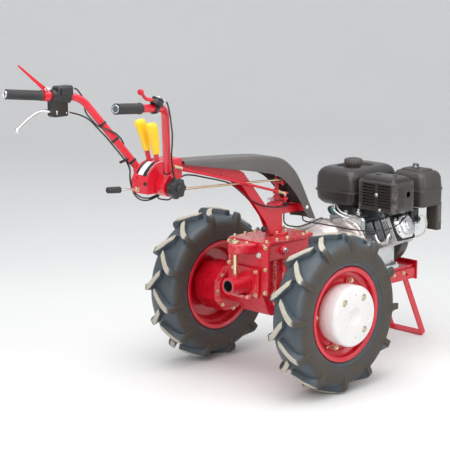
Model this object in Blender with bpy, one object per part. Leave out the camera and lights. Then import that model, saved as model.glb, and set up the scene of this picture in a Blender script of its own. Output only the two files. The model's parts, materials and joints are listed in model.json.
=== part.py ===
"""Walking tractor: two driven wheels, a cast gearbox, a petrol engine in front, and a handlebar on a
swinging column behind.

Design frame: metres, +X forward towards the engine, +Y to the operator's left, +Z up, z = 0 on the ground
under the axle. Everything is built in that frame, and one empty then moves the whole machine so that the
middle of its bounding box's base is the origin.
"""

import math

import bmesh
import bpy
from mathutils import Matrix, Vector

# ---------------------------------------------------------------- driving dimensions
SEAT_GAP = 0.0004           # between two pieces that touch
RUNNING_GAP = 0.0005        # round a pin or shaft that turns
MOVING_CLEARANCE = 0.005    # between pieces that move past each other

TRACK = 0.660
TYRE_RADIUS = 0.300
TYRE_WIDTH = 0.156
TYRE_SEGMENTS = 48
RIM_FLANGE_RADIUS = 0.179
RIM_HALF_WIDTH = 0.060
RIM_SHEET = 0.004
RIM_SEGMENTS = 48
DISC_OFFSET = 0.014         # middle of the wheel disc, outwards from the wheel's mid-plane
WEIGHT_RADIUS = 0.115
WEIGHT_DEPTH = 0.0836
HUB_SHAFT_RADIUS = 0.020
HUB_FLANGE_RADIUS = 0.060
HUB_FLANGE_DEPTH = 0.009

GEARBOX_HALF_WIDTH = 0.088
GEARBOX_LOW_HALF_WIDTH = 0.074
GEARBOX_REAR = -0.125
GEARBOX_FRONT = 0.150
GEARBOX_BOTTOM = 0.250
GEARBOX_SHOULDER = 0.462
GEARBOX_TOP = 0.541
GEARBOX_LID = 0.012
GEARBOX_FLANGE = 0.017
SHELF_REAR = -0.208
SHELF_BOTTOM = 0.496
SHELF_TOP = 0.536

HITCH_TUBE_RADIUS = 0.032
HITCH_BORE_RADIUS = 0.0235
HITCH_HEIGHT = 0.378
HITCH_REAR = -0.228
HITCH_FLANGE = 0.014
HITCH_PIN_X = -0.188
HITCH_PIN_RADIUS = 0.009

CRANK_HEIGHT = 0.430
ENGINE_REAR = 0.440
BLOCK_FRONT = 0.655
BLOCK_LEFT = 0.105
BLOCK_RIGHT = -0.085
BLOCK_TOP = 0.560
ENGINE_BASE = 0.325
CYLINDER_TILT = math.radians(25)
CYLINDER_X = 0.530
CYLINDER_REACH = 0.236      # from the crankshaft to the valve cover's seat

POST_X = 0.033
POST_RADIUS = 0.013
POST_FLANGE_RADIUS = 0.044
POST_FLANGE_DEPTH = 0.010
POST_TOP = 0.640
SLEEVE_RADIUS = 0.020
SLEEVE_TOP = 0.672
COLUMN_HALF_WIDTH = 0.025
COLUMN_WALL = 0.004
COVER_HALF_WIDTH = 0.050
COVER_SHEET = 0.003

CONSOLE_HALF_WIDTH = 0.040
CONSOLE_FRONT = -0.495
HANDLE_X = -0.592
HANDLE_Z = 0.809
BAR_RADIUS = 0.0135
GRIP_RADIUS = 0.0175
GRIP_LENGTH = 0.136
BOSS_RADIUS = 0.034
BOSS_DEPTH = 0.046
NECK_RADIUS = 0.0190
KNOB_RADIUS = 0.035
KNOB_COLLAR = 0.013
CABLE_RADIUS = 0.003
BOLT_RADIUS = 0.006

RAIL_Y = 0.100
RAIL_SHEET = 0.008
RAIL_BOTTOM = 0.267
RAIL_TOP = 0.311
RAIL_REAR = 0.574
FRONT_PLATE_X = 0.757
FRONT_PLATE_HALF_WIDTH = 0.110
STAND_PIVOT_X = 0.706
STAND_PIVOT_Z = 0.287
STAND_FOOT_X = 0.849
STAND_HALF_WIDTH = 0.087
STAND_BAR = 0.028
STAND_SHEET = 0.006

HANDLE_PIVOT = Vector((HANDLE_X, 0.0, HANDLE_Z))
COLUMN_PIVOT = Vector((POST_X, 0.0, GEARBOX_TOP))
STAND_PIVOT = Vector((STAND_PIVOT_X, 0.0, STAND_PIVOT_Z))

# Handlebar centre line on the left side; the right side mirrors it.
BAR_ROOT = Vector((-0.5925, 0.0665, 0.826))
BAR_SHOULDER = Vector((-0.5985, 0.0765, 0.858))
BAR_CORNER = Vector((-0.738, 0.2207, 1.1105))
BAR_END = Vector((-1.011, 0.291, 1.136))
GRIP_INNER = BAR_CORNER.lerp(BAR_END, 1 - GRIP_LENGTH / (BAR_END - BAR_CORNER).length)


# ---------------------------------------------------------------- scene and materials
def clear_scene():
    for old in list(bpy.data.objects):
        bpy.data.objects.remove(old, do_unlink=True)


def finish_of(name, colour, roughness, metallic):
    found = bpy.data.materials.new(name)
    found.use_nodes = True
    shader = found.node_tree.nodes["Principled BSDF"]
    shader.inputs["Base Color"].default_value = (*colour, 1.0)
    shader.inputs["Roughness"].default_value = roughness
    shader.inputs["Metallic"].default_value = metallic
    return found


clear_scene()
RED_PAINT = finish_of("red_paint", (0.62, 0.006, 0.022), 0.35, 0.0)
CREAM_PAINT = finish_of("cream_paint", (0.70, 0.69, 0.66), 0.5, 0.0)
TYRE_RUBBER = finish_of("tyre_rubber", (0.030, 0.034, 0.037), 0.75, 0.0)
GRIP_RUBBER = finish_of("grip_rubber", (0.035, 0.036, 0.038), 0.6, 0.0)
COVER_PLASTIC = finish_of("cover_plastic", (0.13, 0.12, 0.115), 0.45, 0.0)
BLACK_PLASTIC = finish_of("black_plastic", (0.028, 0.026, 0.026), 0.4, 0.0)
BLACK_PAINT = finish_of("black_paint", (0.020, 0.020, 0.021), 0.35, 0.0)
YELLOW_PLASTIC = finish_of("yellow_plastic", (0.95, 0.62, 0.05), 0.35, 0.0)
CAST_ALUMINIUM = finish_of("cast_aluminium", (0.56, 0.56, 0.55), 0.45, 0.9)
ZINC_STEEL = finish_of("zinc_steel", (0.70, 0.62, 0.42), 0.35, 1.0)
BRIGHT_STEEL = finish_of("bright_steel", (0.72, 0.72, 0.74), 0.25, 1.0)


# ---------------------------------------------------------------- shape helpers
def from_bmesh(name, bm):
    bmesh.ops.recalc_face_normals(bm, faces=bm.faces)
    mesh = bpy.data.meshes.new(name)
    bm.to_mesh(mesh)
    bm.free()
    made = bpy.data.objects.new(name, mesh)
    bpy.context.scene.collection.objects.link(made)
    return made


def block(low, high, bevel=0.0):
    """An axis-aligned box, with its edges bevelled if asked."""
    bm = bmesh.new()
    bmesh.ops.create_cube(bm, size=1.0)
    size = Vector(high) - Vector(low)
    bmesh.ops.scale(bm, vec=size, verts=bm.verts)
    bmesh.ops.translate(bm, vec=(Vector(low) + Vector(high)) / 2, verts=bm.verts)
    if bevel:
        bmesh.ops.bevel(bm, geom=list(bm.edges), offset=bevel, segments=1, affect="EDGES")
    return from_bmesh("block", bm)


def side_plate(outline, low_y, high_y, bevel=0.0):
    """An outline of (x, z) points, extruded from low_y to high_y."""
    bm = bmesh.new()
    face = bm.faces.new([bm.verts.new((x, low_y, z)) for x, z in outline])
    made = bmesh.ops.extrude_face_region(bm, geom=[face])
    moved = [v for v in made["geom"] if isinstance(v, bmesh.types.BMVert)]
    bmesh.ops.translate(bm, vec=(0, high_y - low_y, 0), verts=moved)
    bmesh.ops.recalc_face_normals(bm, faces=bm.faces)
    if bevel:
        ends = [e for e in bm.edges if abs(e.verts[0].co.y - e.verts[1].co.y) < 1e-6]
        bmesh.ops.bevel(bm, geom=ends, offset=bevel, segments=1, affect="EDGES")
    return from_bmesh("plate", bm)


def turned(profile, centre, axis, segments, flat_down=False):
    """A closed profile of (along, radius) points turned about an axis through centre."""
    bm = bmesh.new()
    along = Vector(axis).normalized()
    out = Vector((0, 0, 1)) if abs(along.z) < 0.9 else Vector((1, 0, 0))
    out = (out - along * out.dot(along)).normalized()
    start = Matrix.Rotation(math.pi / segments, 3, along) @ out if flat_down else out
    ring = [bm.verts.new(Vector(centre) + along * a + start * r) for a, r in profile]
    edges = [bm.edges.new((ring[i], ring[(i + 1) % len(ring)])) for i in range(len(ring))
             if max(profile[i][1], profile[(i + 1) % len(ring)][1]) > 1e-6]
    bmesh.ops.spin(bm, geom=list(ring) + edges, cent=centre, axis=along,
                   angle=2 * math.pi, steps=segments, use_merge=False)
    bmesh.ops.remove_doubles(bm, verts=bm.verts, dist=1e-5)
    return from_bmesh("turned", bm)


def rod(start, end, radius, segments=16):
    """A straight round bar between two points."""
    start, end = Vector(start), Vector(end)
    length = (end - start).length
    profile = [(0, 0), (0, radius), (length, radius), (length, 0)]
    return turned(profile, start, end - start, segments)


def rounded_path(corners, bends, steps=6):
    """Points of a path whose inner corners are arcs, each starting its own distance before its corner."""
    corners = [Vector(p) for p in corners]
    points = [corners[0]]
    for before, corner, after, bend in zip(corners, corners[1:], corners[2:], bends):
        a = corner + (before - corner).normalized() * bend
        b = corner + (after - corner).normalized() * bend
        for i in range(steps + 1):
            t = i / steps
            points.append(a * (1 - t) ** 2 + corner * 2 * t * (1 - t) + b * t ** 2)
    points.append(corners[-1])
    return points


def smooth_path(corners, count):
    """`count` points of a Catmull-Rom curve through the given points."""
    knots = [Vector(p) for p in corners]
    knots = [2 * knots[0] - knots[1]] + knots + [2 * knots[-1] - knots[-2]]
    spans = len(knots) - 3
    points = []
    for i in range(count):
        at = i / (count - 1) * spans
        k = min(int(at), spans - 1)
        t = at - k
        p0, p1, p2, p3 = knots[k:k + 4]
        points.append(0.5 * (2 * p1 + (p2 - p0) * t + (2 * p0 - 5 * p1 + 4 * p2 - p3) * t ** 2
                             + (3 * p1 - p0 - 3 * p2 + p3) * t ** 3))
    return points


def tube(points, radius, resolution=3):
    """A round bar along the points, from a curve with a bevel and filled caps."""
    curve = bpy.data.curves.new("tube", "CURVE")
    curve.dimensions = "3D"
    curve.bevel_depth = radius
    curve.bevel_resolution = resolution
    curve.use_fill_caps = True
    spline = curve.splines.new("POLY")
    spline.points.add(len(points) - 1)
    for target, source in zip(spline.points, points):
        target.co = (*source, 1.0)
    guide = bpy.data.objects.new("tube_guide", curve)
    bpy.context.scene.collection.objects.link(guide)
    bpy.context.view_layer.update()
    mesh = bpy.data.meshes.new_from_object(guide.evaluated_get(bpy.context.evaluated_depsgraph_get()))
    bpy.data.objects.remove(guide)
    bm = bmesh.new()
    bm.from_mesh(mesh)
    bmesh.ops.remove_doubles(bm, verts=bm.verts, dist=1e-5)
    return from_bmesh("tube", bm)


def boolean(target, tool, operation):
    """Applies one exact Boolean to target and removes the tool."""
    step = target.modifiers.new(operation, "BOOLEAN")
    step.operation = operation
    step.object = tool
    bpy.context.view_layer.update()
    mesh = bpy.data.meshes.new_from_object(target.evaluated_get(bpy.context.evaluated_depsgraph_get()))
    target.modifiers.remove(step)
    target.data = mesh
    bpy.data.objects.remove(tool)
    return target


def joined(first, *others):
    for other in others:
        boolean(first, other, "UNION")
    return first


def cut(first, *tools):
    for tool in tools:
        boolean(first, tool, "DIFFERENCE")
    return first


def chamfered(obj, width, segments=1, angle=35):
    step = obj.modifiers.new("edge", "BEVEL")
    step.width = width
    step.segments = segments
    step.limit_method = "ANGLE"
    step.angle_limit = math.radians(angle)
    bpy.context.view_layer.update()
    mesh = bpy.data.meshes.new_from_object(obj.evaluated_get(bpy.context.evaluated_depsgraph_get()))
    obj.modifiers.remove(step)
    obj.data = mesh
    return obj


# ---------------------------------------------------------------- groups that move together
def group(name, pivot, parent=None):
    empty = bpy.data.objects.new(name, None)
    bpy.context.scene.collection.objects.link(empty)
    empty["pivot"] = list(pivot)
    if parent:
        empty.parent = parent
        empty.location = Vector(pivot) - Vector(parent["pivot"])
    return empty


def name_piece(obj, name, finish, owner):
    """Names a shape, gives it its material, and hangs it on the group that carries it."""
    pivot = Vector(owner["pivot"])
    obj.name = name
    obj.data.name = name
    obj.data.transform(Matrix.Translation(-pivot))
    obj.data.materials.clear()
    obj.data.materials.append(finish)
    obj.parent = owner
    obj.data.shade_smooth()
    obj.data.set_sharp_from_angle(angle=math.radians(35))
    return obj


def mirrored(point, side):
    return Vector((point[0], point[1] * side, point[2]))


# ---------------------------------------------------------------- wheels
def wheel_mid(side):
    return Vector((0.0, side * TRACK / 2, TYRE_RADIUS))


def tyre(side):
    """The tyre as a closed ring whose outside runs over the tread lugs' tips."""
    grow = 1 / math.cos(math.pi / TYRE_SEGMENTS)
    half = TYRE_WIDTH / 2
    bead = RIM_FLANGE_RADIUS - 0.0138
    inner = RIM_HALF_WIDTH - 0.0092
    over_flange = RIM_FLANGE_RADIUS + 0.0025
    half_side = [
        (inner, bead), (inner, over_flange - 0.004), (RIM_HALF_WIDTH - 0.002, over_flange),
        (half - 0.010, RIM_FLANGE_RADIUS + 0.022), (half, RIM_FLANGE_RADIUS + 0.060),
        (half - 0.004, TYRE_RADIUS - 0.024), (half - 0.012, TYRE_RADIUS - 0.006),
        (half - 0.030, TYRE_RADIUS * grow), ]
    profile = half_side + [(-a, r) for a, r in reversed(half_side)]
    return turned(profile, wheel_mid(side), (0, side, 0), TYRE_SEGMENTS, flat_down=True)


def rim(side):
    """A drop-centre steel rim with its disc, one closed section turned about the axle."""
    tip, flat, well = RIM_FLANGE_RADIUS, RIM_FLANGE_RADIUS - 0.0145, RIM_FLANGE_RADIUS - 0.034
    t, w = RIM_SHEET, RIM_HALF_WIDTH
    out_face, in_face = DISC_OFFSET + t / 2, DISC_OFFSET - t / 2
    hole = HUB_SHAFT_RADIUS + 0.016
    profile = [
        (w, tip), (w - 0.005, tip - 0.001), (w - 0.0085, flat), (w - 0.024, flat - 0.002),
        (w - 0.034, well), (-w + 0.034, well), (-w + 0.024, flat - 0.002), (-w + 0.0085, flat),
        (-w + 0.005, tip - 0.001), (-w, tip),
        (-w, tip - 0.006), (-w + 0.0035, flat - t - 0.001), (-w + 0.022, flat - t - 0.003),
        (in_face, well - t - 0.004), (in_face, hole), (out_face, hole),
        (out_face, well - t - 0.012), (out_face + 0.010, well - t), (w - 0.032, well - t),
        (w - 0.022, flat - t - 0.003), (w - 0.0035, flat - t - 0.001), (w, tip - 0.006), ]
    return turned(profile, wheel_mid(side), (0, side, 0), RIM_SEGMENTS)


def hub(side):
    """The flanged hub and its shaft, which runs in the final drive."""
    seat = DISC_OFFSET - RIM_SHEET / 2 - SEAT_GAP
    nose = DISC_OFFSET + RIM_SHEET / 2
    hole = HUB_SHAFT_RADIUS + 0.016
    profile = [
        (-0.120, 0), (-0.120, HUB_SHAFT_RADIUS), (seat - HUB_FLANGE_DEPTH, HUB_SHAFT_RADIUS),
        (seat - HUB_FLANGE_DEPTH, HUB_FLANGE_RADIUS), (seat, HUB_FLANGE_RADIUS),
        (seat, hole - RUNNING_GAP), (nose, hole - RUNNING_GAP), (nose, 0), ]
    return turned(profile, wheel_mid(side), (0, side, 0), 24)


def wheel_weight(side):
    """The round cast weight bolted on the disc's outer face."""
    back = DISC_OFFSET + RIM_SHEET / 2 + SEAT_GAP
    face = back + WEIGHT_DEPTH
    r = WEIGHT_RADIUS
    profile = [
        (back, 0), (back, r - 0.006), (back + 0.030, r - 0.001), (face - 0.012, r),
        (face - 0.003, r - 0.003), (face, r - 0.009), (face, 0.034), (face - 0.006, 0.028),
        (face - 0.006, 0), ]
    return turned(profile, wheel_mid(side), (0, side, 0), 40)


def build_wheel(side, word, machine):
    owner = group(f"{word}_wheel", wheel_mid(side), machine)
    name_piece(tyre(side), f"{word}_tyre", TYRE_RUBBER, owner)
    name_piece(rim(side), f"{word}_rim", RED_PAINT, owner)
    name_piece(hub(side), f"{word}_hub", RED_PAINT, owner)
    name_piece(wheel_weight(side), f"{word}_wheel_weight", CREAM_PAINT, owner)


# ---------------------------------------------------------------- gearbox and hitch
def final_drive(side):
    """The eight-sided casing between the gearbox and a wheel, bored for the hub's shaft."""
    mid = TRACK / 2
    face = mid + DISC_OFFSET - RIM_SHEET / 2 - SEAT_GAP - HUB_FLANGE_DEPTH - MOVING_CLEARANCE
    inner = GEARBOX_LOW_HALF_WIDTH + SEAT_GAP
    tube = turned([(inner, 0), (inner, 0.062), (inner + 0.014, 0.062), (inner + 0.018, 0.050), (0.215, 0.052),
                   (0.215, 0)], (0, 0, TYRE_RADIUS), (0, side, 0), 24)
    casing = turned([(0.200, 0), (0.200, 0.080), (0.214, 0.097), (face - 0.004, 0.100), (face, 0.096), (face, 0)],
                    (0, 0, TYRE_RADIUS), (0, side, 0), 8, flat_down=True)
    bore_end = mid - 0.120 - RUNNING_GAP
    bore = rod((0, side * bore_end, TYRE_RADIUS), (0, side * (face + 0.01), TYRE_RADIUS),
               HUB_SHAFT_RADIUS + RUNNING_GAP, 24)
    return cut(joined(tube, casing), bore)


def shelf():
    """The overhanging drive housing behind the lid: narrow at the rear, wide where it meets the flange."""
    bm = bmesh.new()
    plan = [(SHELF_REAR, -0.020), (GEARBOX_REAR - 0.018, -0.052), (GEARBOX_REAR + 0.006, -0.054),
            (GEARBOX_REAR + 0.006, 0.054), (GEARBOX_REAR - 0.018, 0.052), (SHELF_REAR, 0.024)]
    face = bm.faces.new([bm.verts.new((x, y, SHELF_BOTTOM)) for x, y in plan])
    made = bmesh.ops.extrude_face_region(bm, geom=[face])
    moved = [v for v in made["geom"] if isinstance(v, bmesh.types.BMVert)]
    bmesh.ops.translate(bm, vec=(0, 0, SHELF_TOP - SHELF_BOTTOM), verts=moved)
    return chamfered(from_bmesh("shelf", bm), 0.006, 1)


def gearbox_casing():
    """The main casting: a wide upper box and a narrower lower case, the rear flange, the lid and the shelf."""
    w, low = GEARBOX_HALF_WIDTH, GEARBOX_LOW_HALF_WIDTH
    lid_under = GEARBOX_TOP - GEARBOX_LID
    rear = GEARBOX_REAR + 0.004
    upper = side_plate([(rear, GEARBOX_SHOULDER), (0.110, GEARBOX_SHOULDER), (GEARBOX_FRONT, 0.486),
                        (GEARBOX_FRONT, lid_under + 0.001), (rear, lid_under + 0.001)], -w, w)
    lower = side_plate([(rear, 0.345), (-0.088, GEARBOX_BOTTOM + 0.016), (-0.070, GEARBOX_BOTTOM),
                        (0.070, GEARBOX_BOTTOM), (0.095, GEARBOX_BOTTOM + 0.030), (GEARBOX_FRONT, 0.350),
                        (GEARBOX_FRONT, 0.500), (rear, 0.500)], -low, low)
    lid = block((GEARBOX_REAR - 0.002, -w - 0.006, lid_under), (GEARBOX_FRONT, w + 0.006, GEARBOX_TOP))
    flange = block((GEARBOX_REAR, -0.106, 0.338), (GEARBOX_REAR + GEARBOX_FLANGE, 0.106, 0.537), 0.004)
    casing = joined(chamfered(upper, 0.006, 1), lower, lid, flange, shelf())
    taper = [side_plate([(0.06, 0.0), (0.06, 1.0), (0.2, 1.0), (0.2, 0.0)], 0, 0.1) for _ in (1, -1)]
    for cutter, side in zip(taper, (1, -1)):
        turn = Matrix.Rotation(side * math.radians(-9), 4, "Z")
        shift = Matrix.Translation((-0.02, side * (w + 0.022) - (0.1 if side < 0 else 0.0), 0))
        cutter.data.transform(shift @ turn)
    casing = cut(casing, *taper)
    pin_hole = rod((HITCH_PIN_X, 0, 0.40), (HITCH_PIN_X, 0, 0.60), HITCH_PIN_RADIUS + RUNNING_GAP)
    return cut(casing, pin_hole)


def hitch_bracket():
    """The socket that an implement's drawbar slides into, on its flange."""
    front = GEARBOX_REAR - SEAT_GAP
    flange = block((front - HITCH_FLANGE, -0.070, 0.326), (front, 0.070, 0.440), 0.003)
    socket = turned([(HITCH_REAR, 0), (HITCH_REAR, HITCH_TUBE_RADIUS), (front - 0.060, HITCH_TUBE_RADIUS + 0.001),
                     (front - 0.012, HITCH_TUBE_RADIUS + 0.012), (front - 0.002, HITCH_TUBE_RADIUS + 0.012),
                     (front - 0.002, 0)], (0, 0, HITCH_HEIGHT), (1, 0, 0), 24)
    pad = rod((HITCH_PIN_X, 0, HITCH_HEIGHT + 0.015), (HITCH_PIN_X, 0, HITCH_HEIGHT + HITCH_TUBE_RADIUS + 0.006),
              0.018)
    foot = block((-0.165, -0.050, 0.326), (front, 0.050, 0.336))
    bracket = joined(flange, socket, pad, foot)
    bore = rod((HITCH_REAR - 0.01, 0, HITCH_HEIGHT), (front - 0.006, 0, HITCH_HEIGHT), HITCH_BORE_RADIUS, 24)
    pin_hole = rod((HITCH_PIN_X, 0, HITCH_HEIGHT), (HITCH_PIN_X, 0, 0.45), HITCH_PIN_RADIUS + RUNNING_GAP)
    return cut(bracket, bore, pin_hole)


def hitch_pin():
    bottom = HITCH_HEIGHT + HITCH_BORE_RADIUS + 0.001
    head = SHELF_TOP + RUNNING_GAP
    profile = [
        (0, 0), (0, HITCH_PIN_RADIUS), (head - bottom, HITCH_PIN_RADIUS), (head - bottom, 0.015),
        (head - bottom + 0.010, 0.015), (head - bottom + 0.010, 0), ]
    return turned(profile, (HITCH_PIN_X, 0, bottom), (0, 0, 1), 16)


def build_gearbox(machine):
    name_piece(gearbox_casing(), "gearbox_casing", RED_PAINT, machine)
    name_piece(hitch_bracket(), "hitch_bracket", RED_PAINT, machine)
    name_piece(hitch_pin(), "hitch_pin", ZINC_STEEL, machine)
    for side, word in ((1, "left"), (-1, "right")):
        name_piece(final_drive(side), f"{word}_final_drive", RED_PAINT, machine)


# ---------------------------------------------------------------- engine
def clutch_housing():
    start = GEARBOX_FRONT + SEAT_GAP
    end = ENGINE_REAR - SEAT_GAP
    profile = [
        (start, 0), (start, 0.098), (start + 0.012, 0.108), (0.235, 0.116), (0.290, 0.134),
        (0.318, 0.134), (0.330, 0.104), (end - 0.016, 0.100), (end - 0.014, 0.120), (end, 0.120), (end, 0), ]
    return turned(profile, (0, 0, CRANK_HEIGHT), (1, 0, 0), 32)


def tilted(along, across, x):
    """A point in the cylinder's own directions: along its bore and across it, upwards."""
    c, s = math.cos(CYLINDER_TILT), math.sin(CYLINDER_TILT)
    return Vector((x, -along * c + across * s * 1.0, CRANK_HEIGHT + along * s + across * c))


def tilted_block(along, across, xs, bevel=0.0):
    made = block((xs[0], along[0], across[0]), (xs[1], along[1], across[1]), bevel)
    c, s = math.cos(CYLINDER_TILT), math.sin(CYLINDER_TILT)
    turn = Matrix(((1, 0, 0, 0), (0, -c, s, 0), (0, s, c, CRANK_HEIGHT), (0, 0, 0, 1)))
    made.data.transform(turn)
    made.data.flip_normals()
    return made


def engine_block():
    """Crankcase with its foot: one plain block at the engine's real place and size."""
    case = block((ENGINE_REAR, BLOCK_RIGHT, ENGINE_BASE + 0.008), (BLOCK_FRONT, BLOCK_LEFT, BLOCK_TOP), 0.014)
    foot = block((ENGINE_REAR + 0.012, BLOCK_RIGHT - 0.014, ENGINE_BASE), (BLOCK_FRONT, BLOCK_LEFT + 0.014,
                 ENGINE_BASE + 0.016))
    return joined(case, foot)


def cylinder():
    """The finned barrel and head, tilted up to the right."""
    start = 0.112
    barrel = tilted_block((start, CYLINDER_REACH), (-0.056, 0.056), (CYLINDER_X - 0.064, CYLINDER_X + 0.064), 0.004)
    keep_out = block((ENGINE_REAR - 0.05, BLOCK_RIGHT - SEAT_GAP, 0.2), (BLOCK_FRONT + 0.05, 0.3, 0.7))
    foot_out = block((ENGINE_REAR - 0.05, -0.13, 0.2), (BLOCK_FRONT + 0.05, 0.3, ENGINE_BASE + 0.02))
    return cut(barrel, keep_out, foot_out)


def valve_cover():
    seat = CYLINDER_REACH + SEAT_GAP
    base = tilted_block((seat, seat + 0.010), (-0.048, 0.048), (CYLINDER_X - 0.050, CYLINDER_X + 0.050), 0.0)
    dome_start = tilted(seat + 0.004, 0, CYLINDER_X)
    dome_axis = tilted(1.0, 0, CYLINDER_X) - tilted(0.0, 0, CYLINDER_X)
    profile = [(0, 0), (0, 0.044), (0.018, 0.040), (0.026, 0.026), (0.026, 0.016), (0.032, 0.014), (0.032, 0)]
    return joined(base, turned(profile, dome_start, dome_axis, 24))


def fuel_tank():
    rear, front, right, left = 0.430, 0.722, -0.036, 0.172
    bottom, seam, top = 0.587, 0.648, 0.742
    upper = block((rear, right, seam - 0.001), (front, left, top))
    upper = chamfered(upper, 0.020, 2)
    lip = block((rear - 0.006, right - 0.004, seam - 0.004), (front + 0.006, left + 0.006, seam + 0.004))
    lower = side_plate([(rear + 0.030, bottom), (front - 0.030, bottom), (front, bottom + 0.020),
                        (front, seam + 0.001), (rear, seam + 0.001), (rear, bottom + 0.022)],
                       right + 0.004, left - 0.004)
    return joined(upper, lip, lower)


def fuel_cap():
    top = 0.742 + SEAT_GAP
    profile = [(0, 0), (0, 0.030), (0.006, 0.037), (0.024, 0.036), (0.028, 0.030), (0.028, 0)]
    return turned(profile, (0.552, 0.066, top), (0, 0, 1), 24)


def tank_legs():
    """The two sheet brackets that carry the tank on the crankcase."""
    low, high = BLOCK_TOP + SEAT_GAP, 0.587 - SEAT_GAP
    rear = block((0.475, -0.020, low), (0.500, 0.095, high))
    front = block((0.610, -0.020, low), (0.635, 0.095, high))
    bridge = block((0.480, 0.020, high - 0.008), (0.630, 0.060, high))
    return joined(rear, front, bridge)


def muffler_guard():
    guard = block((0.443, -0.240, 0.594), (0.572, -0.052, 0.730))
    bm = bmesh.new()
    bm.from_mesh(guard.data)
    tops = [e for e in bm.edges if all(v.co.z > 0.72 for v in e.verts)]
    bmesh.ops.bevel(bm, geom=tops, offset=0.022, segments=1, affect="EDGES")
    bm.to_mesh(guard.data)
    bm.free()
    return guard


def exhaust_pipe():
    """The short bent pipe from the head up to the muffler."""
    bottom = tilted(0.190, 0.056 + SEAT_GAP, CYLINDER_X - 0.030)
    flange = rod(bottom, tilted(0.190, 0.071, CYLINDER_X - 0.030), 0.021)
    pipe = rod(bottom + Vector((0, 0.004, 0.010)), (bottom.x, bottom.y + 0.004, 0.594 - SEAT_GAP), 0.015)
    return joined(flange, pipe)


def air_cleaner():
    rear, front, right, left = 0.628, 0.768, -0.232, -0.062
    case = block((rear, right, 0.592), (front, left, 0.738))
    case = chamfered(case, 0.022, 2)
    lip = block((rear - 0.003, right - 0.003, 0.654), (front + 0.003, left + 0.003, 0.661))
    intake = block((front - 0.034, right + 0.004, 0.486), (front - 0.004, right + 0.062, 0.600))
    knob = rod((0.700, -0.140, 0.730), (0.700, -0.140, 0.758), 0.013, 16)
    return joined(case, lip, intake, knob)


def carburettor():
    """The carburettor between the head's front side and the air cleaner."""
    side = CYLINDER_X + 0.064 + SEAT_GAP
    centre = tilted(0.180, 0, 0)
    body = block((side, centre.y - 0.026, centre.z - 0.024), (side + 0.066, centre.y + 0.026, centre.z + 0.026), 0.004)
    bowl = rod((side + 0.034, centre.y, centre.z - 0.062), (side + 0.034, centre.y, centre.z - 0.010), 0.024, 16)
    throat = block((side + 0.040, centre.y - 0.020, centre.z), (side + 0.060, centre.y + 0.020, 0.592 - SEAT_GAP))
    return joined(body, bowl, throat)


def recoil_starter():
    """The fan housing and recoil starter on the engine's front."""
    start = BLOCK_FRONT + SEAT_GAP
    profile = [(0, 0), (0, 0.122), (0.052, 0.122), (0.058, 0.102), (0.086, 0.096), (0.096, 0.084), (0.096, 0)]
    return turned(profile, (start, 0.010, CRANK_HEIGHT + 0.018), (1, 0, 0), 32)


def build_engine(machine):
    name_piece(clutch_housing(), "clutch_housing", CAST_ALUMINIUM, machine)
    name_piece(engine_block(), "engine_block", CAST_ALUMINIUM, machine)
    name_piece(cylinder(), "cylinder", CAST_ALUMINIUM, machine)
    name_piece(valve_cover(), "valve_cover", BRIGHT_STEEL, machine)
    name_piece(fuel_tank(), "fuel_tank", BLACK_PAINT, machine)
    name_piece(fuel_cap(), "fuel_cap", BLACK_PLASTIC, machine)
    name_piece(tank_legs(), "tank_bracket", BLACK_PAINT, machine)
    name_piece(muffler_guard(), "muffler_guard", BLACK_PAINT, machine)
    name_piece(exhaust_pipe(), "exhaust_pipe", CAST_ALUMINIUM, machine)
    name_piece(air_cleaner(), "air_cleaner", BLACK_PLASTIC, machine)
    name_piece(carburettor(), "carburettor", CAST_ALUMINIUM, machine)
    name_piece(recoil_starter(), "recoil_starter", BLACK_PAINT, machine)


# ---------------------------------------------------------------- front frame and stand
def build_front_frame(machine):
    front = FRONT_PLATE_X - SEAT_GAP
    plate = block((ENGINE_REAR + 0.020, -RAIL_Y + RAIL_SHEET / 2 + SEAT_GAP, RAIL_TOP - 0.003),
                  (front, RAIL_Y - RAIL_SHEET / 2 - SEAT_GAP, ENGINE_BASE - SEAT_GAP))
    name_piece(plate, "engine_plate", RED_PAINT, machine)
    for side, word in ((1, "left"), (-1, "right")):
        low, high = sorted((side * (RAIL_Y - RAIL_SHEET / 2), side * (RAIL_Y + RAIL_SHEET / 2)))
        rail = side_plate([(RAIL_REAR, 0.280), (RAIL_REAR + 0.014, RAIL_BOTTOM), (front, RAIL_BOTTOM),
                           (front, RAIL_TOP), (RAIL_REAR + 0.028, RAIL_TOP)], low, high)
        hole = rod((STAND_PIVOT_X, low - 0.01, STAND_PIVOT_Z), (STAND_PIVOT_X, high + 0.01, STAND_PIVOT_Z),
                   BOLT_RADIUS + RUNNING_GAP)
        name_piece(cut(rail, hole), f"{word}_frame_rail", RED_PAINT, machine)
    width = FRONT_PLATE_HALF_WIDTH
    bumper = block((FRONT_PLATE_X, -width, 0.262), (FRONT_PLATE_X + 0.008, width, 0.340))
    notch = block((FRONT_PLATE_X - 0.01, -0.034, 0.25), (FRONT_PLATE_X + 0.02, 0.034, 0.304))
    name_piece(cut(bumper, notch), "front_plate", RED_PAINT, machine)


def stand_line():
    """The stand's leg on its middle line: its direction, half its width across, its top and its foot."""
    lean = Vector((STAND_FOOT_X - STAND_PIVOT_X, 0, -STAND_PIVOT_Z)).normalized()
    across = Vector((-lean.z, 0, lean.x)) * (STAND_BAR / 2)
    reach = (STAND_PIVOT_Z - across.length * abs(lean.x)) / abs(lean.z)
    return lean, across, STAND_PIVOT - lean * 0.014, STAND_PIVOT + lean * reach


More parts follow.
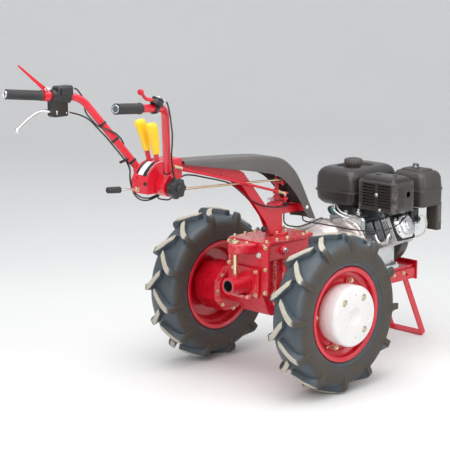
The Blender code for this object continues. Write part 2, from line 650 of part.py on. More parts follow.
def parking_stand():
    """The flat-bar loop that the nose stands on, between the frame rails, with its pivot pins."""
    outer = STAND_HALF_WIDTH
    inner = outer - STAND_SHEET
    lean, across, top, foot = stand_line()
    outline = [top + across, top - across, foot - across, foot + across]
    gap = [foot - lean * STAND_SHEET + across * 2, foot - lean * STAND_SHEET - across * 2,
           top - lean * 0.05 - across * 2, top - lean * 0.05 + across * 2]
    loop = cut(side_plate([(p.x, p.z) for p in outline], -outer, outer),
               side_plate([(p.x, p.z) for p in gap], -inner, inner))
    for side in (-1, 1):
        pin = rod((STAND_PIVOT_X, side * (inner - 0.004), STAND_PIVOT_Z),
                  (STAND_PIVOT_X, side * (RAIL_Y + RAIL_SHEET / 2 + 0.006), STAND_PIVOT_Z), BOLT_RADIUS)
        loop = joined(loop, pin)
    return loop


def build_stand(machine):
    owner = group("stand_pivot", STAND_PIVOT, machine)
    name_piece(parking_stand(), "parking_stand", RED_PAINT, owner)


# ---------------------------------------------------------------- steering column
def column_post():
    """The fixed kingpost on the gearbox lid that the column turns on."""
    low = GEARBOX_TOP + SEAT_GAP
    top = POST_TOP - low
    profile = [(0, 0), (0, POST_FLANGE_RADIUS), (POST_FLANGE_DEPTH, POST_FLANGE_RADIUS),
               (POST_FLANGE_DEPTH, POST_RADIUS), (top, POST_RADIUS), (top, 0)]
    return turned(profile, (POST_X, 0, low), (0, 0, 1), 24)


COLUMN_LOW = GEARBOX_TOP + SEAT_GAP + POST_FLANGE_DEPTH + 0.0008
COLUMN_UPPER_EDGE = [(CONSOLE_FRONT + SEAT_GAP, 0.876), (-0.300, 0.842), (-0.200, 0.820), (-0.172, 0.806),
                     (-0.030, 0.640), (0.000, 0.655), (0.012, SLEEVE_TOP - 0.006)]
COLUMN_LOWER_EDGE = [(0.038, 0.655), (0.038, COLUMN_LOW), (-0.026, COLUMN_LOW), (-0.050, 0.601), (-0.178, 0.757),
                     (-0.200, 0.772), (-0.237, 0.784), (CONSOLE_FRONT + SEAT_GAP, 0.850)]


def steering_column():
    """The column: a closed arm from the console, bent into a channel that is open behind, and its sleeve."""
    w, wall = COLUMN_HALF_WIDTH, COLUMN_WALL
    body = side_plate(COLUMN_UPPER_EDGE + COLUMN_LOWER_EDGE, -w, w)
    hollow = side_plate([(-0.190, 0.740), (-0.172, 0.792), (-0.040, 0.640), (-0.004, 0.590), (-0.004, 0.520),
                         (-0.080, 0.520)], -w + wall, w - wall)
    far_edge = side_plate([(-0.300, 0.757), (-0.178, 0.757), (-0.091, 0.680), (-0.040, 0.620), (-0.008, 0.560),
                           (-0.008, 0.540), (-0.300, 0.540)], w - wall - 0.001, w + 0.010)
    body = cut(body, hollow, far_edge)
    sleeve = rod((POST_X, 0, COLUMN_LOW), (POST_X, 0, SLEEVE_TOP - 0.010), SLEEVE_RADIUS, 24)
    ring = rod((POST_X, 0, SLEEVE_TOP - 0.020), (POST_X, 0, SLEEVE_TOP), 0.0255, 24)
    bracket = block((0.040, -0.012, 0.618), (0.160, 0.012, 0.646))
    pad_top = cover_height(PAD_FRONT) - COVER_SHEET - 2 * SEAT_GAP
    ears = block((0.140, -COVER_HALF_WIDTH + COVER_SHEET + SEAT_GAP, 0.622),
                 (0.158, COVER_HALF_WIDTH - COVER_SHEET - SEAT_GAP, 0.648))
    column = joined(body, sleeve, ring, bracket, ears, block((PAD_REAR, -0.018, 0.850), (PAD_FRONT, 0.018, pad_top)))
    bore = rod((POST_X, 0, 0.5), (POST_X, 0, POST_TOP + RUNNING_GAP), POST_RADIUS + RUNNING_GAP, 24)
    return cut(column, bore)


COVER_TOP = [(-0.490, 0.8855), (-0.410, 0.881), (-0.250, 0.872), (-0.120, 0.863), (-0.050, 0.855), (0.000, 0.845),
             (0.032, 0.832), (0.060, 0.812), (0.091, 0.783), (0.117, 0.747), (0.140, 0.707), (0.170, 0.652),
             (0.207, 0.583)]
COVER_LOW = [(0.163, 0.591), (0.145, 0.607), (0.121, 0.649), (0.090, 0.692), (0.060, 0.724), (0.026, 0.753),
             (-0.009, 0.776), (-0.055, 0.790), (-0.167, 0.813), (-0.347, 0.846), (-0.490, 0.872)]
PAD_REAR = -0.400
PAD_FRONT = -0.366


def cover_height(x):
    """The height of the cover's upper line at x."""
    for (x0, z0), (x1, z1) in zip(COVER_TOP, COVER_TOP[1:]):
        if x0 <= x <= x1:
            return z0 + (z1 - z0) * (x - x0) / (x1 - x0)
    return COVER_TOP[0][1]


def cover_inner(points, sheet):
    """The cover's upper line moved in by the sheet's thickness."""
    moved = []
    for i, p in enumerate(points):
        a = Vector(points[max(0, i - 1)])
        b = Vector(points[min(len(points) - 1, i + 1)])
        along = (b - a).normalized()
        moved.append(tuple(Vector(p) + Vector((along.y, -along.x)) * sheet))
    return moved


def column_cover():
    """The long hood over the rods: a channel open below, bent down in front of the kingpost."""
    shell = side_plate(COVER_TOP + COVER_LOW, -COVER_HALF_WIDTH, COVER_HALF_WIDTH)
    inner = cover_inner(COVER_TOP, COVER_SHEET)
    first, last = Vector(inner[0]), Vector(inner[-1])
    hollow = side_plate(
        [(first.x - 0.05, first.y + 0.003)] + inner + [tuple(last + Vector((0.03, -0.055)))]
        + [(0.05, 0.50), (-0.10, 0.70), (first.x - 0.05, 0.80)],
        -COVER_HALF_WIDTH + COVER_SHEET, COVER_HALF_WIDTH - COVER_SHEET)
    return cut(shell, hollow)


CONSOLE_REAR_EDGE = [(-0.6585, 0.785), (-0.6600, 0.812), (-0.6575, 0.840), (-0.6480, 0.858), (-0.6340, 0.873),
                     (-0.6160, 0.886), (-0.5950, 0.893), (-0.5730, 0.896)]


def console():
    """The control box: a rounded box with two lever slots, bored for the handlebar bolt and the lock rods."""
    outline = CONSOLE_REAR_EDGE + [(CONSOLE_FRONT, 0.897), (CONSOLE_FRONT, 0.828), (-0.600, 0.783)]
    box = side_plate(outline, -CONSOLE_HALF_WIDTH, CONSOLE_HALF_WIDTH)
    bolt = rod((HANDLE_X, -0.1, HANDLE_Z), (HANDLE_X, 0.1, HANDLE_Z), BOLT_RADIUS + RUNNING_GAP)
    half_slot = LEVER_SHEET / 2 + RUNNING_GAP
    slots = [block((-0.67, y - half_slot, 0.862), (-0.560, y + half_slot, 0.96)) for y in (-LEVER_Y, LEVER_Y)]
    hole = LOCK_ROD_RADIUS + SEAT_GAP
    inside = LOCK_HANDLE_END.lerp(LOCK_HANDLE_START, -0.002)
    rear_hole = rod(inside, LOCK_HANDLE_END.lerp(LOCK_HANDLE_START, 0.5), hole)
    front_hole = rod(lock_rod_point(-0.6005), lock_rod_point(-0.50), hole)
    return cut(box, bolt, *slots, rear_hole, front_hole)


LOCK_ROD_RADIUS = 0.004
LOCK_ROD_Y = -0.030
LOCK_HANDLE_START = Vector((-0.790, 0.0203, 0.8095))
LOCK_HANDLE_END = Vector((-0.632, 0.0115, 0.7965))


def lock_rod_point(x):
    """The differential lock's front rod is straight: its height falls a little towards the front."""
    return Vector((x, LOCK_ROD_Y, 0.7585 - 0.0490 * x))


LEVER_Y = 0.0215
LEVER_SHEET = 0.008
LEVERS = (("shift", Vector((-0.606, LEVER_Y, 0.930)), Vector((-0.637, LEVER_Y, 1.041))),
          ("drive", Vector((-0.602, -LEVER_Y, 0.921)), Vector((-0.622, -LEVER_Y, 1.031))))


def lever_stem(foot, top):
    """A flat lever standing in its slot of the console."""
    up = (top - foot).normalized()
    across = Vector((-up.z, 0, up.x)) * 0.0085
    low, high = foot - up * 0.056, foot + up * 0.020
    outline = [(p.x, p.z) for p in (low + across, low - across, high - across, high + across)]
    return side_plate(outline, foot.y - LEVER_SHEET / 2, foot.y + LEVER_SHEET / 2)


def lever_knob(foot, top):
    """The long hand knob, leaning back at its top, with a socket for the stem."""
    up = (top - foot).normalized()
    back = Vector((-up.z, 0, up.x))
    length = (top - foot).length
    spots = ((0.0, 0.012, -0.001), (0.35, 0.0145, -0.003), (0.70, 0.0195, -0.002), (0.92, 0.022, 0.002),
             (1.0, 0.015, 0.004))
    outline = [foot + up * h * length + back * (lean + w) for h, w, lean in spots]
    outline += [foot + up * h * length + back * (lean - w) for h, w, lean in reversed(spots)]
    knob = side_plate([(p.x, p.z) for p in outline], foot.y - 0.0130, foot.y + 0.0130)
    knob = chamfered(knob, 0.004, 1)
    across = back * (0.0085 + SEAT_GAP)
    low, high = foot - up * 0.01, foot + up * (0.020 + SEAT_GAP)
    pocket = side_plate([(p.x, p.z) for p in (low + across, low - across, high - across, high + across)],
                        foot.y - LEVER_SHEET / 2 - SEAT_GAP, foot.y + LEVER_SHEET / 2 + SEAT_GAP)
    return cut(knob, pocket)


SHIFT_ROD_RADIUS = 0.005
SHIFT_ROD_Y = -0.0460
SHIFT_ROD = (Vector((-0.534, SHIFT_ROD_Y, 0.8705)), Vector((0.0228, SHIFT_ROD_Y, 0.7074)))


def selector_levers():
    """The stacked levers on the kingpost's top, pointing to the right, that the rods turn."""
    shaft = rod((POST_X, 0, SLEEVE_TOP + SEAT_GAP), (POST_X, 0, 0.764), 0.0085, 16)
    hubs = [rod((POST_X, 0, z - 0.008), (POST_X, 0, z + 0.008), 0.0150, 16) for z in (0.745, 0.707, 0.684)]
    arms = [block((POST_X - 0.009, -reach, z - 0.0030), (POST_X + 0.009, 0, z + 0.0030))
            for z, reach in ((0.745, 0.038), (0.7065, 0.052), (0.684, 0.050))]
    bolts = [rod((POST_X, -y, low), (POST_X, -y, high), 0.0055, 12)
             for y, low, high in ((0.030, 0.735, 0.763), (0.0435, 0.672, 0.695))]
    return joined(shaft, *hubs, *arms, *bolts)


def build_column(machine):
    name_piece(column_post(), "column_post", RED_PAINT, machine)
    owner = group("column_pivot", COLUMN_PIVOT, machine)
    name_piece(steering_column(), "steering_column", RED_PAINT, owner)
    name_piece(column_cover(), "column_cover", COVER_PLASTIC, owner)
    name_piece(console(), "console", RED_PAINT, owner)
    for word, foot, top in LEVERS:
        name_piece(lever_stem(foot, top), f"{word}_lever", RED_PAINT, owner)
        name_piece(lever_knob(foot, top), f"{word}_knob", YELLOW_PLASTIC, owner)
    name_piece(selector_levers(), "selector_levers", RED_PAINT, owner)
    lock = rod(lock_rod_point(-0.600), lock_rod_point(POST_X - 0.0061), LOCK_ROD_RADIUS)
    name_piece(lock, "lock_rod", ZINC_STEEL, owner)
    grip_end = LOCK_HANDLE_START.lerp(LOCK_HANDLE_END, 0.36)
    hand = joined(rod(LOCK_HANDLE_START, grip_end, 0.012, 20),
                  rod(LOCK_HANDLE_START.lerp(grip_end, 0.5), LOCK_HANDLE_END, LOCK_ROD_RADIUS))
    name_piece(hand, "lock_handle", GRIP_RUBBER, owner)
    pin_end = Vector((SHIFT_ROD[0].x + 0.006, -CONSOLE_HALF_WIDTH - SEAT_GAP, SHIFT_ROD[0].z - 0.0018))
    shift = joined(rod(*SHIFT_ROD, SHIFT_ROD_RADIUS),
                   rod((pin_end.x, SHIFT_ROD_Y, pin_end.z), pin_end, 0.0045, 12))
    name_piece(shift, "shift_rod", RED_PAINT, owner)
    slope = Vector((-0.050 + 0.026, 0, 0.601 - COLUMN_LOW)).normalized()
    below = Vector((-slope.z, 0, slope.x))
    seat = Vector((-0.026, -0.0225, COLUMN_LOW)) + slope * 0.036 + below * SEAT_GAP
    ball = turned([(0, 0), (0, 0.0024), (0.006, 0.0024), (0.010, 0.009), (0.020, 0.014), (0.029, 0.009),
                   (0.033, 0)], seat, below, 16)
    name_piece(ball, "column_lock_knob", BLACK_PLASTIC, owner)
    return owner


# ---------------------------------------------------------------- handlebar
def handlebar(side):
    """One bent bar, welded into the cast neck of the boss that clamps it to the console."""
    corners = [mirrored(p, side) for p in (BAR_ROOT, BAR_SHOULDER, BAR_CORNER, BAR_END)]
    bar = tube(rounded_path(corners, (0.016, 0.038)), BAR_RADIUS, 2)
    inner = side * (CONSOLE_HALF_WIDTH + RUNNING_GAP)
    boss = rod((HANDLE_X, inner, HANDLE_Z), (HANDLE_X, inner + side * BOSS_DEPTH, HANDLE_Z), BOSS_RADIUS, 24)
    middle = CONSOLE_HALF_WIDTH + RUNNING_GAP + BOSS_DEPTH / 2
    start, end = mirrored((HANDLE_X, middle, HANDLE_Z), side), mirrored(BAR_SHOULDER, side)
    length = (end - start).length
    neck = turned([(0, 0), (0, BOSS_DEPTH / 2 - 0.0056), (length * 0.62, NECK_RADIUS + 0.0008),
                   (length, NECK_RADIUS), (length, 0)], start, end - start, 20)
    made = joined(boss, neck, bar)
    hole = rod((HANDLE_X, side * 0.02, HANDLE_Z), (HANDLE_X, side * 0.2, HANDLE_Z), BOLT_RADIUS + RUNNING_GAP)
    return cut(made, hole)


def grip(side):
    start, end = mirrored(GRIP_INNER, side), mirrored(BAR_END, side)
    along = (end - start).normalized()
    length = (end - start).length
    hole = BAR_RADIUS * 1.02 + SEAT_GAP
    profile = [(0, hole), (0, GRIP_RADIUS + 0.001), (0.006, GRIP_RADIUS + 0.001), (0.010, GRIP_RADIUS - 0.001),
               (length - 0.010, GRIP_RADIUS), (length - 0.002, GRIP_RADIUS + 0.001), (length - 0.002, hole)]
    return turned(profile, start, along, 20)


def handlebar_bolt():
    outer = CONSOLE_HALF_WIDTH + RUNNING_GAP + BOSS_DEPTH + SEAT_GAP
    shank = rod((HANDLE_X, -outer - KNOB_COLLAR - 0.010, HANDLE_Z), (HANDLE_X, outer + 0.002, HANDLE_Z), BOLT_RADIUS)
    head = rod((HANDLE_X, outer, HANDLE_Z), (HANDLE_X, outer + 0.009, HANDLE_Z), 0.012, 6)
    return joined(shank, head)


def clamp_knob():
    """The lobed hand nut on the right end of the bolt."""
    outer = CONSOLE_HALF_WIDTH + RUNNING_GAP + BOSS_DEPTH + SEAT_GAP
    lobes, radius, dent = 7, KNOB_RADIUS, 0.003
    count = 42
    outline = [(HANDLE_X + (radius + dent * math.cos(lobes * t)) * math.cos(t),
                HANDLE_Z + (radius + dent * math.cos(lobes * t)) * math.sin(t))
               for t in (2 * math.pi * i / count for i in range(count))]
    inner = -outer - KNOB_COLLAR
    nut = side_plate(outline, inner - 0.030, inner)
    nut = joined(nut, rod((HANDLE_X, inner - 0.036, HANDLE_Z), (HANDLE_X, inner - 0.028, HANDLE_Z), 0.014),
                 rod((HANDLE_X, inner - 0.002, HANDLE_Z), (HANDLE_X, -outer, HANDLE_Z), 0.0145))
    depth = KNOB_COLLAR + 0.0105
    hole = rod((HANDLE_X, -outer - depth, HANDLE_Z), (HANDLE_X, -outer + 0.01, HANDLE_Z), BOLT_RADIUS + SEAT_GAP)
    return cut(nut, hole)


def bar_point(side, share):
    """A point on the straight hand part of the bar: 0 at the grip's inner end, 1 at the corner."""
    return mirrored(GRIP_INNER.lerp(BAR_CORNER, share), side)


def control_box():
    """The lever mount round the left bar, with the housing that hangs below it."""
    middle = bar_point(1, 0.44)
    along = (BAR_CORNER - GRIP_INNER).normalized()
    clamp = turned([(-0.030, 0), (-0.030, 0.023), (0.040, 0.023), (0.040, 0)], middle, along, 12)
    upper = block((middle.x - 0.017, middle.y - 0.024, middle.z - 0.012),
                  (middle.x + 0.050, middle.y + 0.022, middle.z + 0.036), 0.006)
    box = block((middle.x - 0.030, middle.y - 0.010, middle.z - 0.072),
                (middle.x + 0.036, middle.y + 0.032, middle.z - 0.004), 0.005)
    made = joined(clamp, upper, box)
    hole = rod(middle - along * 0.1, middle + along * 0.1, BAR_RADIUS * 1.02 + SEAT_GAP, 16)
    return cut(made, hole)


def clutch_lever():
    """The long red blade that rises over the left grip from a collar round the bar."""
    middle = bar_point(1, 0.12)
    along = (BAR_CORNER - GRIP_INNER).normalized()
    collar = turned([(-0.011, 0), (-0.011, 0.020), (0.0085, 0.020), (0.0085, 0)], middle, along, 16)
    tip = Vector((-0.946, 0.300, 1.229))
    root = middle + Vector((-0.004, 0.004, 0.0222))
    side_way = (tip - root).cross(Vector((0, 0, 1))).normalized()
    up_way = side_way.cross(tip - root).normalized()
    bm = bmesh.new()
    rings = []
    for share, wide, thick in ((-0.03, 0.012, 0.008), (0.25, 0.012, 0.006), (1.0, 0.007, 0.003)):
        at = root.lerp(tip, share)
        corners = [at + side_way * wide + up_way * thick, at - side_way * wide + up_way * thick,
                   at - side_way * wide - up_way * thick, at + side_way * wide - up_way * thick]
        rings.append([bm.verts.new(p) for p in corners])
    for first, second in zip(rings, rings[1:]):
        for i in range(4):
            j = (i + 1) % 4
            bm.faces.new((first[i], first[j], second[j], second[i]))
    bm.faces.new(rings[0][::-1])
    bm.faces.new(rings[-1])
    made = joined(collar, from_bmesh("blade", bm))
    hole = rod(middle - along * 0.1, middle + along * 0.1, BAR_RADIUS * 1.02 + SEAT_GAP, 16)
    return cut(made, hole)


def brake_lever():
    """The polished lever that curves back and down from the control box to its ball end."""
    middle = bar_point(1, 0.44)
    start = Vector((middle.x - 0.0310, middle.y + 0.012, middle.z - 0.052))
    path = smooth_path([start, start + Vector((-0.040, 0.004, 0.003)), start + Vector((-0.087, 0.010, -0.019)),
                        start + Vector((-0.132, 0.016, -0.055))], 12)
    blade = tube(path, 0.0048, 2)
    ball = turned([(-0.009, 0), (-0.006, 0.007), (0, 0.0095), (0.006, 0.007), (0.009, 0)], path[-1], (0, 0, 1), 12)
    return joined(blade, ball)


def throttle_lever():
    """The thumb lever and its round mount on top of the right bar."""
    middle = bar_point(-1, 0.56)
    along = (mirrored(BAR_CORNER, -1) - mirrored(GRIP_INNER, -1)).normalized()
    band = turned([(-0.009, 0), (-0.009, 0.018), (0.009, 0.018), (0.009, 0)], middle, along, 16)
    pot = rod(middle + Vector((-0.002, -0.011, 0.011)), middle + Vector((0.011, -0.012, 0.035)), 0.023, 20)
    arm_end = middle + Vector((-0.069, -0.013, 0.059))
    arm = tube([middle + Vector((-0.006, -0.011, 0.022)), middle + Vector((-0.042, -0.011, 0.033)), arm_end], 0.0050, 2)
    pad = turned([(-0.007, 0), (-0.007, 0.010), (0.007, 0.010), (0.007, 0)], arm_end, (1, 0.3, 0.1), 12)
    made = joined(band, pot, arm, pad)
    hole = rod(middle - along * 0.1, middle + along * 0.1, BAR_RADIUS * 1.02 + SEAT_GAP, 16)
    return cut(made, hole)


def build_handlebar(column_owner):
    owner = group("handlebar_pivot", HANDLE_PIVOT, column_owner)
    for side, word in ((1, "left"), (-1, "right")):
        name_piece(handlebar(side), f"{word}_handlebar", RED_PAINT, owner)
        name_piece(grip(side), f"{word}_grip", GRIP_RUBBER, owner)
    name_piece(handlebar_bolt(), "handlebar_bolt", BRIGHT_STEEL, owner)
    name_piece(clamp_knob(), "clamp_knob", BLACK_PLASTIC, owner)
    name_piece(control_box(), "control_box", BLACK_PLASTIC, owner)
    name_piece(clutch_lever(), "clutch_lever", RED_PAINT, owner)
    name_piece(brake_lever(), "brake_lever", BRIGHT_STEEL, owner)
    name_piece(throttle_lever(), "throttle_lever", RED_PAINT, owner)
    return owner


# ---------------------------------------------------------------- cables
# A cable that crosses a joint is cut square to the motion there, so its two parts pass without touching.
def beside_bar(share, turn, space=0.002):
    """A point by the left bar: share runs from its corner to its shoulder, and turn goes round it in degrees."""
    along = (BAR_SHOULDER - BAR_CORNER).normalized()
    level = along.cross(Vector((0, 0, 1))).normalized()
    rise = level.cross(along)
    turn = math.radians(turn)
    out = level * math.cos(turn) + rise * math.sin(turn)
    return BAR_CORNER.lerp(BAR_SHOULDER, share) + out * (BAR_RADIUS + CABLE_RADIUS + space)


BRAKE_CABLE = [
    (-0.7669, 0.2370, 1.1430), (-0.7560, 0.2370, 1.1425), (-0.7420, 0.2370, 1.1370), (-0.7280, 0.2390, 1.1250),
    beside_bar(0.07, 180, 0.004), beside_bar(0.12, 225, 0.005), beside_bar(0.19, 262, 0.005),
    beside_bar(0.28, 275, 0.003), beside_bar(0.35, 300), beside_bar(0.40, 335), beside_bar(0.45, 10),
    beside_bar(0.51, 45), beside_bar(0.57, 75), beside_bar(0.63, 105), beside_bar(0.69, 140), beside_bar(0.75, 180),
    beside_bar(0.82, 222), beside_bar(0.89, 245, 0.004), (-0.6300, 0.0845, 0.8560), (-0.6390, 0.0745, 0.8330),
    (-0.6400, 0.0660, 0.8060), (-0.6290, 0.0600, 0.7760), (-0.6080, 0.0560, 0.7590), (-0.5920, 0.0520, 0.7540),
    (-0.5860, 0.0495, 0.7535), (-0.5860, 0.0455, 0.7535), ]
CLUTCH_CABLE = [
    (-0.7805, 0.2450, 1.0590), (-0.7680, 0.2440, 1.0570), (-0.7510, 0.2430, 1.0520), (-0.7290, 0.2320, 1.0440),
    (-0.7040, 0.2150, 1.0270), beside_bar(0.44, 285, 0.004), beside_bar(0.52, 278), beside_bar(0.61, 272),
    beside_bar(0.70, 270), beside_bar(0.79, 270), beside_bar(0.87, 270), (-0.6360, 0.0790, 0.8560),
    (-0.6460, 0.0675, 0.8330), (-0.6480, 0.0590, 0.8060), (-0.6400, 0.0520, 0.7740), (-0.6180, 0.0500, 0.7530),
    (-0.5960, 0.0500, 0.7460), (-0.5830, 0.0498, 0.7460), (-0.5790, 0.0492, 0.7465), (-0.5790, 0.0455, 0.7465), ]
THROTTLE_CABLE = [
    (-0.7680, -0.2480, 1.1424), (-0.7600, -0.2470, 1.1388), (-0.7490, -0.2450, 1.1280), (-0.7400, -0.2410, 1.1120),
    (-0.7270, -0.2350, 1.0800), (-0.7040, -0.2150, 1.0450), (-0.6640, -0.1750, 1.0120), (-0.6330, -0.1400, 0.9660),
    (-0.6070, -0.1080, 0.9260), (-0.5870, -0.0900, 0.8880), (-0.5720, -0.0800, 0.8520), (-0.5570, -0.0740, 0.8300),
    (-0.5420, -0.0640, 0.8030), (-0.5430, -0.0590, 0.7850), (-0.5520, -0.0545, 0.7680), (-0.5640, -0.0515, 0.7580),
    (-0.5680, -0.0495, 0.7560), (-0.5680, -0.0455, 0.7560), ]
THROTTLE_BRANCH = [
    (-0.5680, -0.0443, 0.7560), (-0.5680, -0.0380, 0.7560), (-0.5665, -0.0200, 0.7540), (-0.5640, 0.0000, 0.7530),
    (-0.5590, 0.0170, 0.7545), (-0.5480, 0.0260, 0.7610), ]
COLUMN_CABLE = [
    (-0.5825, 0.0443, 0.7500), (-0.5825, 0.0390, 0.7500), (-0.5780, 0.0330, 0.7515), (-0.5600, 0.0290, 0.7570),
    (-0.5320, 0.0270, 0.7670), (-0.5050, 0.0260, 0.7800), (-0.4700, 0.0200, 0.8020),
    (-0.4330, 0.0160, 0.8200), (-0.3900, 0.0130, 0.8160), (-0.3300, 0.0120, 0.8005), (-0.2700, 0.0090, 0.7850),
    (-0.2250, 0.0000, 0.7700), (-0.1980, -0.0120, 0.7500), (-0.1760, -0.0260, 0.7260), (-0.1520, -0.0310, 0.7060),
    (-0.1200, -0.0320, 0.6880), (-0.0780, -0.0320, 0.6705), (-0.0350, -0.0325, 0.6590), (0.0070, -0.0350, 0.6540),
    (0.0450, -0.0350, 0.6530), (0.0720, -0.0230, 0.6530), (0.0840, -0.0060, 0.6540), (0.0900, 0.0090, 0.6535),
    (0.0935, 0.0200, 0.6470), (0.0945, 0.0220, 0.6300), (0.0945, 0.0200, 0.6080), (0.0945, 0.0200, 0.5900), ]
HOUSING_CABLE = [
    (0.0945, 0.0200, 0.5892), (0.0945, 0.0200, 0.5820), (0.0990, 0.0150, 0.5700), (0.1100, 0.0080, 0.5610),
    (0.1260, 0.0030, 0.5570),
    (0.1500, 0.0000, 0.5525), (0.1850, 0.0000, 0.5525), (0.2350, 0.0000, 0.5580), (0.2700, 0.0000, 0.5655),
    (0.2950, 0.0000, 0.5675), ]
ENGINE_CABLE = [
    (0.1475, -0.0305, 0.5970), (0.1475, -0.0305, 0.5890), (0.1530, -0.0340, 0.5800), (0.1660, -0.0440, 0.5750),
    (0.1860, -0.0600, 0.5710), (0.2300, -0.1000, 0.5600), (0.2790, -0.1400, 0.5465), (0.3200, -0.1720, 0.5380),
    (0.3600, -0.2000, 0.5345), (0.4020, -0.2290, 0.5370), (0.4400, -0.2460, 0.5460), (0.4740, -0.2490, 0.5590),
    (0.5080, -0.2430, 0.5720), (0.5340, -0.2330, 0.5820), (0.5450, -0.2250, 0.5913), ]


def cable(corners, name, owner, branch=None):
    """A round cable along a smooth curve through its points, with a second one that joins it if asked."""
    made = tube(smooth_path(corners, len(corners) * 3 // 2), CABLE_RADIUS, 2)
    if branch:
        made = joined(made, tube(smooth_path(branch, len(branch) * 3 // 2), CABLE_RADIUS, 2))
    name_piece(made, name, BLACK_PLASTIC, owner)


# ---------------------------------------------------------------- the machine
def build_machine():
    rear_end = BAR_END.x - 0.0035
    _, across, _, foot = stand_line()
    front_end = (foot + across).x
    machine = group("machine", (0, 0, 0))
    machine.location = (-(rear_end + front_end) / 2, 0, 0)
    for side, word in ((1, "left"), (-1, "right")):
        build_wheel(side, word, machine)
    build_gearbox(machine)
    build_engine(machine)
    build_front_frame(machine)
    build_stand(machine)
    column_owner = build_column(machine)
    bar_owner = build_handlebar(column_owner)
    cable(BRAKE_CABLE, "brake_cable", bar_owner)
    cable(CLUTCH_CABLE, "clutch_cable", bar_owner)
    cable(THROTTLE_CABLE, "throttle_cable", bar_owner)
    cable(COLUMN_CABLE, "column_cable", column_owner, THROTTLE_BRANCH)
    cable(HOUSING_CABLE, "housing_cable", machine)
    cable(ENGINE_CABLE, "engine_cable", machine)


build_machine()
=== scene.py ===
# %% [markdown]
# # A walking tractor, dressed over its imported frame
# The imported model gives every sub-part its size and place. This lesson puts the fine surface on it:
# rounded castings, lugged tyres, a finned cylinder, cables and paint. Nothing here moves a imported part.
# Where a plain solid is too coarse, a new mesh takes its place and rides on the same body, so the joints
# still work.

import json
import math
import random

import bmesh
import bpy
from mathutils import Matrix, Vector


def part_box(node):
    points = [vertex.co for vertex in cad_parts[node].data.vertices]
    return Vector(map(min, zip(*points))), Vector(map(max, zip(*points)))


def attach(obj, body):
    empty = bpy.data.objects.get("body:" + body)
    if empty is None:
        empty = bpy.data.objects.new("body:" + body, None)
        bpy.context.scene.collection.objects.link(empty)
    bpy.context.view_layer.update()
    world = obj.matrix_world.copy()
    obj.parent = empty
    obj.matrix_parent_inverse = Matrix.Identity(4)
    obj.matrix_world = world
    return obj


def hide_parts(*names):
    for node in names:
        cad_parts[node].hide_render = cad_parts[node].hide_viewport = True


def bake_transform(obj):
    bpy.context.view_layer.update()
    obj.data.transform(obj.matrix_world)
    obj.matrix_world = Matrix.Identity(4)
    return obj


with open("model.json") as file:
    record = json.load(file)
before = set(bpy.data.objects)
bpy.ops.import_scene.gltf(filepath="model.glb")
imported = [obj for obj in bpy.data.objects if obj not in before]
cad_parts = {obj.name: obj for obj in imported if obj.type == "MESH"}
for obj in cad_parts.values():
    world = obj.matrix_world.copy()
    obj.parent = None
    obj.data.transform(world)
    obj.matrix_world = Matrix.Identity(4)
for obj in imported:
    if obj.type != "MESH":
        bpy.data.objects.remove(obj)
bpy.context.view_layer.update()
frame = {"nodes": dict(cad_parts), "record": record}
tyre_low, tyre_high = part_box("right_tyre")
AXLE_X = (tyre_low.x + tyre_high.x) / 2
TYRE_R = (tyre_high.z - tyre_low.z) / 2
WHEEL_Y = -(tyre_low.y + tyre_high.y) / 2
random.seed(11)
print("axle at x", round(AXLE_X, 4), "wheel radius", round(TYRE_R, 4))

# %% [markdown]
# ## Shader maths that reads as Python
# A material is a graph of nodes, and graphs are slow to read. `Wire` wraps one output socket and
# overloads the arithmetic operators, so `1 - mask * 0.5` adds the two Math nodes it needs. A colour or a
# vector goes through Vector Math instead, because a Math node would turn it grey. `Paint` owns the tree,
# and its one method `node` adds any other node from its type, its settings and its sockets.

# %% Wires and paints
class Wire:
    """One output socket, with the operators that the finishes use."""

    def __init__(self, paint, socket):
        self.paint, self.socket = paint, socket

    def __add__(self, other):
        return self.paint.maths("ADD", self, other)

    def __sub__(self, other):
        return self.paint.maths("SUBTRACT", self, other)

    def __mul__(self, other):
        return self.paint.maths("MULTIPLY", self, other)

    def __pow__(self, other):
        return self.paint.maths("POWER", self, other)

    def __rsub__(self, other):
        return self.paint.maths("SUBTRACT", other, self)

    __radd__, __rmul__ = __add__, __mul__


